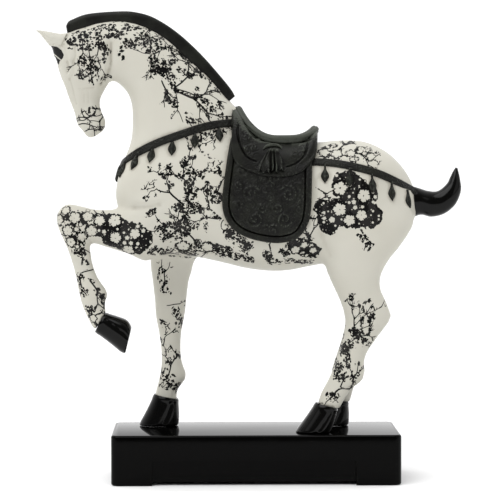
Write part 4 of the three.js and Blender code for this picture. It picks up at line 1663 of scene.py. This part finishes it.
def in_cell(r, cell, shift):
    """The nearest cell of a scatter: the gap to its middle in mm, flat on the surface, and its axes."""
    shift = (shift, shift * 0.7, shift * 1.3)
    moved = r.vector("ADD", r.place, shift)
    cells = r.add("ShaderNodeTexVoronoi")
    r.feed(cells.inputs["Vector"], moved)
    r.feed(cells.inputs["Scale"], 1 / (cell * MM))
    gap = r.vector("SCALE", r.vector("SUBTRACT", moved, cells.outputs["Position"]), scale=1 / MM)
    normal = r.add("ShaderNodeNewGeometry").outputs["Normal"]
    flat = r.vector("SUBTRACT", gap, r.vector("SCALE", normal, scale=r.vector("DOT_PRODUCT", gap, normal)))
    lean = r.vector("SUBTRACT", cells.outputs["Color"], (0.5, 0.5, 0.5))
    first = r.vector("NORMALIZE", r.vector("CROSS_PRODUCT", normal, lean))
    middle = r.vector("SUBTRACT", cells.outputs["Position"], shift)
    return flat, first, r.vector("CROSS_PRODUCT", normal, first), middle, cells.outputs["Color"]


def leaf_stamps(r, cell, length, width, level_at, shift):
    """Pointed leaves crossed by smaller ones, whole where level_at is high enough at the cell's middle."""
    flat, first, second, middle, color = in_cell(r, cell, shift)
    along = r.maths("ABSOLUTE", r.maths("DIVIDE", r.vector("DOT_PRODUCT", flat, first), length))
    across = r.maths("ABSOLUTE", r.maths("DIVIDE", r.vector("DOT_PRODUCT", flat, second), width))
    pointed = r.maths("ADD", r.maths("POWER", along, 1.7), across)
    stretch = length / width
    crossing = r.maths("ADD", r.maths("POWER", r.maths("DIVIDE", across, stretch * SIDE_LEAF), 1.7),
                       r.maths("MULTIPLY", along, stretch / SIDE_LEAF))
    drawn = r.fall(r.maths("MINIMUM", pointed, crossing), 0.85, 1.05)
    chance = r.maths("MULTIPLY", r.maths("SUBTRACT", r.split("Color", color)[1], 0.5), 0.5)
    level = r.maths("ADD", level_at(middle), chance)
    return r.maths("MULTIPLY", drawn, r.step(level, 0.62, 0.66))


def leaf_ink(r):
    """Leaves in clusters, and along the twigs."""
    signed, bare, bearing = r.split("XYZ", r.value("twig", "Vector"))
    stroke = r.maths("MULTIPLY", r.fall(r.maths("ABSOLUTE", signed), 0.8, 1.15), r.fall(bare, 1.2, 1.5))
    beside_twig = r.maths("MULTIPLY", r.maths("MULTIPLY", r.fall(bare, 0.8, 2.8), 0.42), bearing)
    leafy = r.maths("MAXIMUM", r.value("leafy"), beside_twig)

    def level_at(place):
        return r.maths("ADD", leafy, r.drift(2.4, 8.0, vector=place))

    leaves = r.maths("MAXIMUM", leaf_stamps(r, 2.8, 1.9, 0.95, level_at, 0.0),
                     leaf_stamps(r, 4.6, 2.8, 1.35, level_at, 0.031))
    patch = r.step(r.maths("ADD", level_at(r.place), r.drift(0.9, 2.2, 3.0)), 1.04, 1.1)
    flat, *_ = in_cell(r, 3.3, 0.017)
    patch = r.maths("MULTIPLY", patch, r.step(r.vector("LENGTH", flat), 0.45, 0.65))
    printed = r.maths("MULTIPLY", r.maths("MAXIMUM", leaves, patch), r.step(leafy, 0.08, 0.25))
    return r.maths("MAXIMUM", printed, stroke)


# %% Blossoms of the print
def blossom_ink(r):
    """Black ground and outlines between five-petalled blossoms, and where the blossoms are left bare."""
    along, across, far = r.split("XYZ", r.value("blossom", "Vector"))
    angle = r.maths("ARCTAN2", across, along)
    reach = r.maths("SQRT", r.maths("ADD", r.maths("MULTIPLY", along, along),
                                    r.maths("MULTIPLY", across, across)))
    reach = r.maths("MAXIMUM", reach, r.maths("MULTIPLY", far, 0.96))
    lobes = r.maths("POWER", r.maths("ABSOLUTE", r.maths("COSINE", r.maths("MULTIPLY", angle, 2.5))), 0.45)
    notch = r.maths("MULTIPLY", r.maths("COSINE", r.maths("MULTIPLY", angle, 15.0)), 0.05)
    petal = r.maths("ADD", r.maths("ADD", 0.55, notch), r.maths("MULTIPLY", lobes, 0.38))
    beyond = r.maths("ADD", r.maths("DIVIDE", reach, petal), r.drift(0.42, 1.6))
    beyond = r.maths("ADD", beyond, r.maths("MULTIPLY", r.step(far, 1.3, 1.6), 5.0))
    outside = r.step(beyond, 0.97, 1.03)
    blossomy = r.value("blossomy")
    filled = r.step(r.maths("ADD", r.maths("MULTIPLY", blossomy, 1.55), r.drift(2.0, 7.0, 3.0)), 0.86, 0.9)
    reach_out = r.maths("ADD", 0.93, r.maths("MULTIPLY", r.noise(5.0), 0.95))
    ring = r.fall(r.maths("SUBTRACT", beyond, reach_out), -0.03, 0.03)
    outlined = r.maths("MULTIPLY", ring, r.step(blossomy, 0.16, 0.22))
    heart = r.fall(beyond, 0.12, 0.17)
    flat, *_, color = in_cell(r, 5.6, 0.023)
    size = r.maths("MULTIPLY", r.split("Color", color)[0], 1.5)
    off_spots = r.step(r.maths("SUBTRACT", r.vector("LENGTH", flat), size), -0.1, 0.1)
    ground = r.maths("MULTIPLY", filled, off_spots)
    black = r.maths("MULTIPLY", outside, r.maths("MAXIMUM", ground, outlined))
    black = r.maths("MAXIMUM", black, r.maths("MULTIPLY", heart, r.step(blossomy, 0.2, 0.3)))
    bare = r.maths("MULTIPLY", r.maths("SUBTRACT", 1.0, outside), r.step(blossomy, 0.2, 0.3))
    return black, bare


def print_ink(r):
    """Where the transfer is black, from 0 to 1, with tiny flaws."""
    black, bare = blossom_ink(r)
    ink = r.maths("MAXIMUM", black, r.maths("MULTIPLY", leaf_ink(r), r.maths("SUBTRACT", 1.0, bare)))
    ink = r.maths("MULTIPLY", ink, r.step(r.value("eye"), 2.0, 4.0))
    return r.maths("MULTIPLY", ink, r.step(r.noise(0.9, 1.0), 0.22, 0.28))


# %% [markdown]
# The cream is satin paint with a faint drift in tone, and its hollows and creases are darkened brown as
# painted shade. The
# black of the print is not even either: some patches took the ink less well. The eyes are gloss black, and
# a thin cream line crosses each.

# %% Cream paint with its print
# Where a thin cream line crosses each eye, and how steeply it runs in degrees.
EYE_LINE_PLACE = (-176, 387)
EYE_LINE_SLOPE = 40


def fill_printed_cream():
    r = Recipe(printed_cream)
    ink = print_ink(r)
    tone = r.mix(r.noise(45.0, 3.0), (0.50, 0.483, 0.415, 1), (0.575, 0.562, 0.50, 1))
    # Painted shade: the hollows and creases of the cream are darkened brown.
    crease_shade = r.maths("MULTIPLY", r.fall(r.value("raised"), -0.14, 0.0), 0.35)
    tone = r.mix(crease_shade, tone, (0.28, 0.255, 0.20, 1))
    thin_ink = r.step(r.noise(14.0), 0.46, 0.6)
    black = r.mix(thin_ink, (0.0008, 0.0006, 0.0005, 1), (0.017, 0.016, 0.0155, 1))
    eye = r.fall(r.value("eye"), -0.2, 0.25)
    # A thin cream line crosses the black of each eye.
    x, _, z = r.split("XYZ", r.place)
    eye_line_x, eye_line_z = EYE_LINE_PLACE
    slope = math.radians(EYE_LINE_SLOPE)
    right = r.maths("MULTIPLY", r.maths("SUBTRACT", x, eye_line_x * MM), math.sin(slope) / MM)
    above = r.maths("MULTIPLY", r.maths("SUBTRACT", z, eye_line_z * MM), math.cos(slope) / MM)
    line = r.fall(r.maths("ABSOLUTE", r.maths("ADD", right, above)), 0.3, 0.6)
    eye = r.maths("MULTIPLY", eye, r.maths("SUBTRACT", 1.0, r.maths("MULTIPLY", line, 0.9)))
    color = r.mix(eye, r.mix(ink, tone, black), (0.012, 0.012, 0.012, 1))
    rough = r.maths("SUBTRACT", 0.42, r.maths("MULTIPLY", eye, 0.3))
    normal = r.bump(r.noise(1.3, 2.0), 0.12, 0.15)
    r.finish(Base_Color=color, Roughness=rough, Normal=normal, IOR=1.22)


print("eye line at", EYE_LINE_PLACE)

# %% [markdown]
# Saddle, straps and mane are charcoal over black. Their hollows are painted near black and their ridges
# lighter: partly dry-brushed paint, partly painted shade and painted highlight. Hooves, tail and plinth are
# dipped in gloss black, which only waves a little.

# %% Charcoal and gloss black
def curls(r, cell, spacing):
    """Small spirals, one to a cell, that wind either way: from -1 in their grooves to 1 on their ridges."""
    flat, first, second, _, color = in_cell(r, cell, 0.011)
    angle = r.maths("ARCTAN2", r.vector("DOT_PRODUCT", flat, second), r.vector("DOT_PRODUCT", flat, first))
    winding = r.maths("SIGN", r.maths("SUBTRACT", r.split("Color", color)[2], 0.5))
    reach = r.maths("MULTIPLY", r.vector("LENGTH", flat), 2 * math.pi / spacing)
    return r.maths("SINE", r.maths("ADD", reach, r.maths("MULTIPLY", angle, winding)))


def fill_charcoal():
    r = Recipe(charcoal)
    carved = r.value("carved")
    relief = r.maths("MULTIPLY", curls(r, 7.0, 2.4), carved)
    patchy_relief = r.maths("ADD", r.drift(0.8, 2.2, 5.0), r.maths("MULTIPLY", relief, 0.14))
    shade_and_highlight_level = r.maths("ADD", r.value("raised"), patchy_relief)
    cloudy = r.step(r.noise(16.0, 3.0), 0.36, 0.64)
    base = r.mix(cloudy, (0.0022, 0.0021, 0.0012, 1), (0.0078, 0.0084, 0.0056, 1))
    # Painted highlight over a dry brush's catch: ridges, carved curls and the seat's rim are painted
    # lighter.
    tone = r.mix(r.step(shade_and_highlight_level, 0.1, 0.5), base, (0.05, 0.055, 0.044, 1))
    # Painted shade over the black ground: hollows are painted near black.
    tone = r.mix(r.step(shade_and_highlight_level, -0.3, -0.05), (0.0012, 0.001, 0.001, 1), tone)
    normal = r.bump(relief, 0.5, 0.35, after=r.bump(r.noise(0.8, 3.0), 0.5, 0.25))
    rough = r.maths("ADD", 0.36, r.maths("MULTIPLY", r.noise(3.0, 3.0), 0.2))
    r.finish(Base_Color=tone, Roughness=rough, Normal=normal, IOR=1.27)


def fill_gloss_black(finish, light=0.002, smooth=0.07, ior=1.27):
    r = Recipe(finish)
    deep = (0.4 * light, 0.37 * light, 0.33 * light, 1)
    tone = r.mix(r.noise(20.0), deep, (light, light, 0.87 * light, 1))
    normal = r.bump(r.noise(7.0, 1.0), 0.05, 0.3)
    rough = r.maths("ADD", smooth, r.maths("MULTIPLY", r.noise(11.0, 3.0), 0.1))
    r.finish(Base_Color=tone, Roughness=rough, Normal=normal, IOR=ior)


fill_printed_cream()
fill_charcoal()
fill_gloss_black(gloss_black)
print("finishes:", [m.name for m in body.data.materials])

# %% [markdown]
# The plinth is a low block with rounded corners. Each long side has a shallow sunk panel, and the foot
# is cut away between two end feet. It is cast and dipped in black lacquer, so its edges are soft.

# %% Plinth
PLINTH_CORNER = 7
PLINTH_EDGE = 2.2
PANEL_LENGTH = 184
PANEL_CENTRE_X = 3
PANEL_HEIGHT = 22.6
PANEL_RECESS = 6
PANEL_EDGE = 1.4
FOOT_LIFT = 3
BEYOND = 10


def block(name, low, high, corner=0.0, edge=0.0):
    """A box with rounded upright edges and a softer bevel on the others."""
    bm = bmesh.new()
    bmesh.ops.create_cube(bm, size=1)
    for v in bm.verts:
        v.co = Vector([(low[k] if v.co[k] < 0 else high[k]) * MM for k in range(3)])
    upright = [e for e in bm.edges if abs(e.verts[0].co.z - e.verts[1].co.z) > MM]
    settings = {"affect": "EDGES", "profile": 0.5, "material": -1}
    if corner:
        bmesh.ops.bevel(bm, geom=upright, offset=corner * MM, segments=10, **settings)
    if edge:
        level = [e for e in bm.edges if abs(e.verts[0].co.z - e.verts[1].co.z) < MM]
        bmesh.ops.bevel(bm, geom=level, offset=edge * MM, segments=5, **settings)
    return new_object(name, bm)


def cut_away(whole, tool):
    cut = whole.modifiers.new(tool.name, "BOOLEAN")
    cut.operation = "DIFFERENCE"
    cut.solver = "MANIFOLD"
    cut.object = tool
    apply_modifiers(whole)
    bpy.data.objects.remove(tool)


def make_plinth():
    low, high = plinth_low / MM, plinth_high / MM
    slab = block("plinth_lacquered", low, high, PLINTH_CORNER, PLINTH_EDGE)
    left, right = PANEL_CENTRE_X - PANEL_LENGTH / 2, PANEL_CENTRE_X + PANEL_LENGTH / 2
    for side in (-1, 1):
        near, far = sorted((side * (high.y - PANEL_RECESS), side * (high.y + BEYOND)))
        cut_away(slab, block("panel", (left, near, -BEYOND), (right, far, PANEL_HEIGHT), edge=PANEL_EDGE))
    gap_y = 3 * BEYOND + high.y
    cut_away(slab, block("foot gap", (left, -gap_y, -BEYOND), (right, gap_y, FOOT_LIFT)))
    return slab


plinth = make_plinth()
black_lacquer = new_finish("black lacquer")
plinth.data.materials.clear()
plinth.data.materials.append(black_lacquer)
fill_gloss_black(black_lacquer, light=0.001, smooth=0.02, ior=1.15)
print("plinth", len(plinth.data.polygons), "faces")

# %% [markdown]
# Smooth shading must stop where one finish or form meets another, or the narrow faces along a join
# would look creased. So edges between finishes and steep edges are kept sharp.

# %% Shading
HORSE_SHARP = 42
PLINTH_SHARP = 35


def shade(obj, angle):
    """Smooth shading, sharp where faces meet at more than an angle in degrees. Returns the sharp edges."""
    mesh = obj.data
    mesh.shade_smooth()
    mesh.set_sharp_from_angle(angle=math.radians(angle))
    bm = bmesh.new()
    bm.from_mesh(mesh)
    for e in bm.edges:
        if len({f.material_index for f in e.link_faces}) > 1:
            e.smooth = False
    bm.to_mesh(mesh)
    bm.free()
    return sum(1 for e in mesh.edges if e.use_edge_sharp)


print("sharp edges on the horse:", shade(body, HORSE_SHARP))
print("sharp edges on the plinth:", shade(plinth, PLINTH_SHARP))

# %% [markdown]
# The studio is a white room: a pale floor that runs far back, a white world, a wide light overhead and
# two large soft lamps. Black lacquer shows what stands around it, so no lamp is small and hard.

# %% Studio
LAMPS_AIM = Vector((0, 0, 0.2))
FLOOR_HALF = 60.0


def make_lamp(name, place, size, power):
    data = bpy.data.lights.new(name, "AREA")
    data.shape = "RECTANGLE"
    data.size, data.size_y = size
    data.energy = power
    lamp = bpy.data.objects.new(name, data)
    lamp.location = place
    lamp.rotation_euler = (LAMPS_AIM - Vector(place)).to_track_quat("-Z", "Y").to_euler()
    bpy.context.scene.collection.objects.link(lamp)


def make_floor():
    bm = bmesh.new()
    bmesh.ops.create_grid(bm, x_segments=1, y_segments=1, size=FLOOR_HALF)
    floor = new_object("floor", bm)
    paint = new_finish("floor paint")
    floor.data.materials.append(paint)
    r = Recipe(paint)
    r.finish(Base_Color=r.mix(r.noise(900.0), (0.9, 0.9, 0.9, 1), (0.92, 0.92, 0.92, 1)), Roughness=0.8)
    return floor


def make_world(front, back):
    """A white room that is dimmer on the camera's side, so that black lacquer stays black there."""
    world = bpy.data.worlds.new("studio")
    world.use_nodes = True
    nodes, links = world.node_tree.nodes, world.node_tree.links
    way = nodes.new("ShaderNodeTexCoord")
    axes = nodes.new("ShaderNodeSeparateXYZ")
    share = nodes.new("ShaderNodeMapRange")
    share.interpolation_type = "SMOOTHSTEP"
    for name, value in (("From Min", -0.75), ("From Max", 0.35), ("To Min", front), ("To Max", back)):
        share.inputs[name].default_value = value
    links.new(way.outputs["Generated"], axes.inputs[0])
    links.new(axes.outputs["Y"], share.inputs["Value"])
    links.new(share.outputs["Result"], nodes["Background"].inputs["Strength"])
    nodes["Background"].inputs["Color"].default_value = (1, 1, 1, 1)
    bpy.context.scene.world = world


def make_sun(way, angle, power):
    """Light that reaches the whole floor evenly, as a wide ceiling light would."""
    data = bpy.data.lights.new("ceiling light", "SUN")
    data.angle = math.radians(angle)
    data.energy = power
    lamp = bpy.data.objects.new("ceiling light", data)
    lamp.rotation_euler = Vector(way).to_track_quat("Z", "Y").to_euler()
    bpy.context.scene.collection.objects.link(lamp)


make_sun((-0.3, -0.4, 1.0), 60, 2.0)
make_lamp("key", (-1.1, -1.6, 1.9), (2.0, 2.0), 12)
make_lamp("fill", (1.6, -1.4, 1.0), (1.2, 1.4), 4)
make_world(0.16, 1.2)
bpy.context.scene.view_settings.view_transform = "Standard"
make_floor()

# %% [markdown]
# Last, each piece is tied to the model. Both pieces stand still on the root body, and the plain solid of
# the same form is hidden under each.

# %% Tying to the model
for piece, node, slot in ((body, "horse", "printed_cream"), (plinth, "plinth", "black_lacquer")):
    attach(piece, "root")
    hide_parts(node)
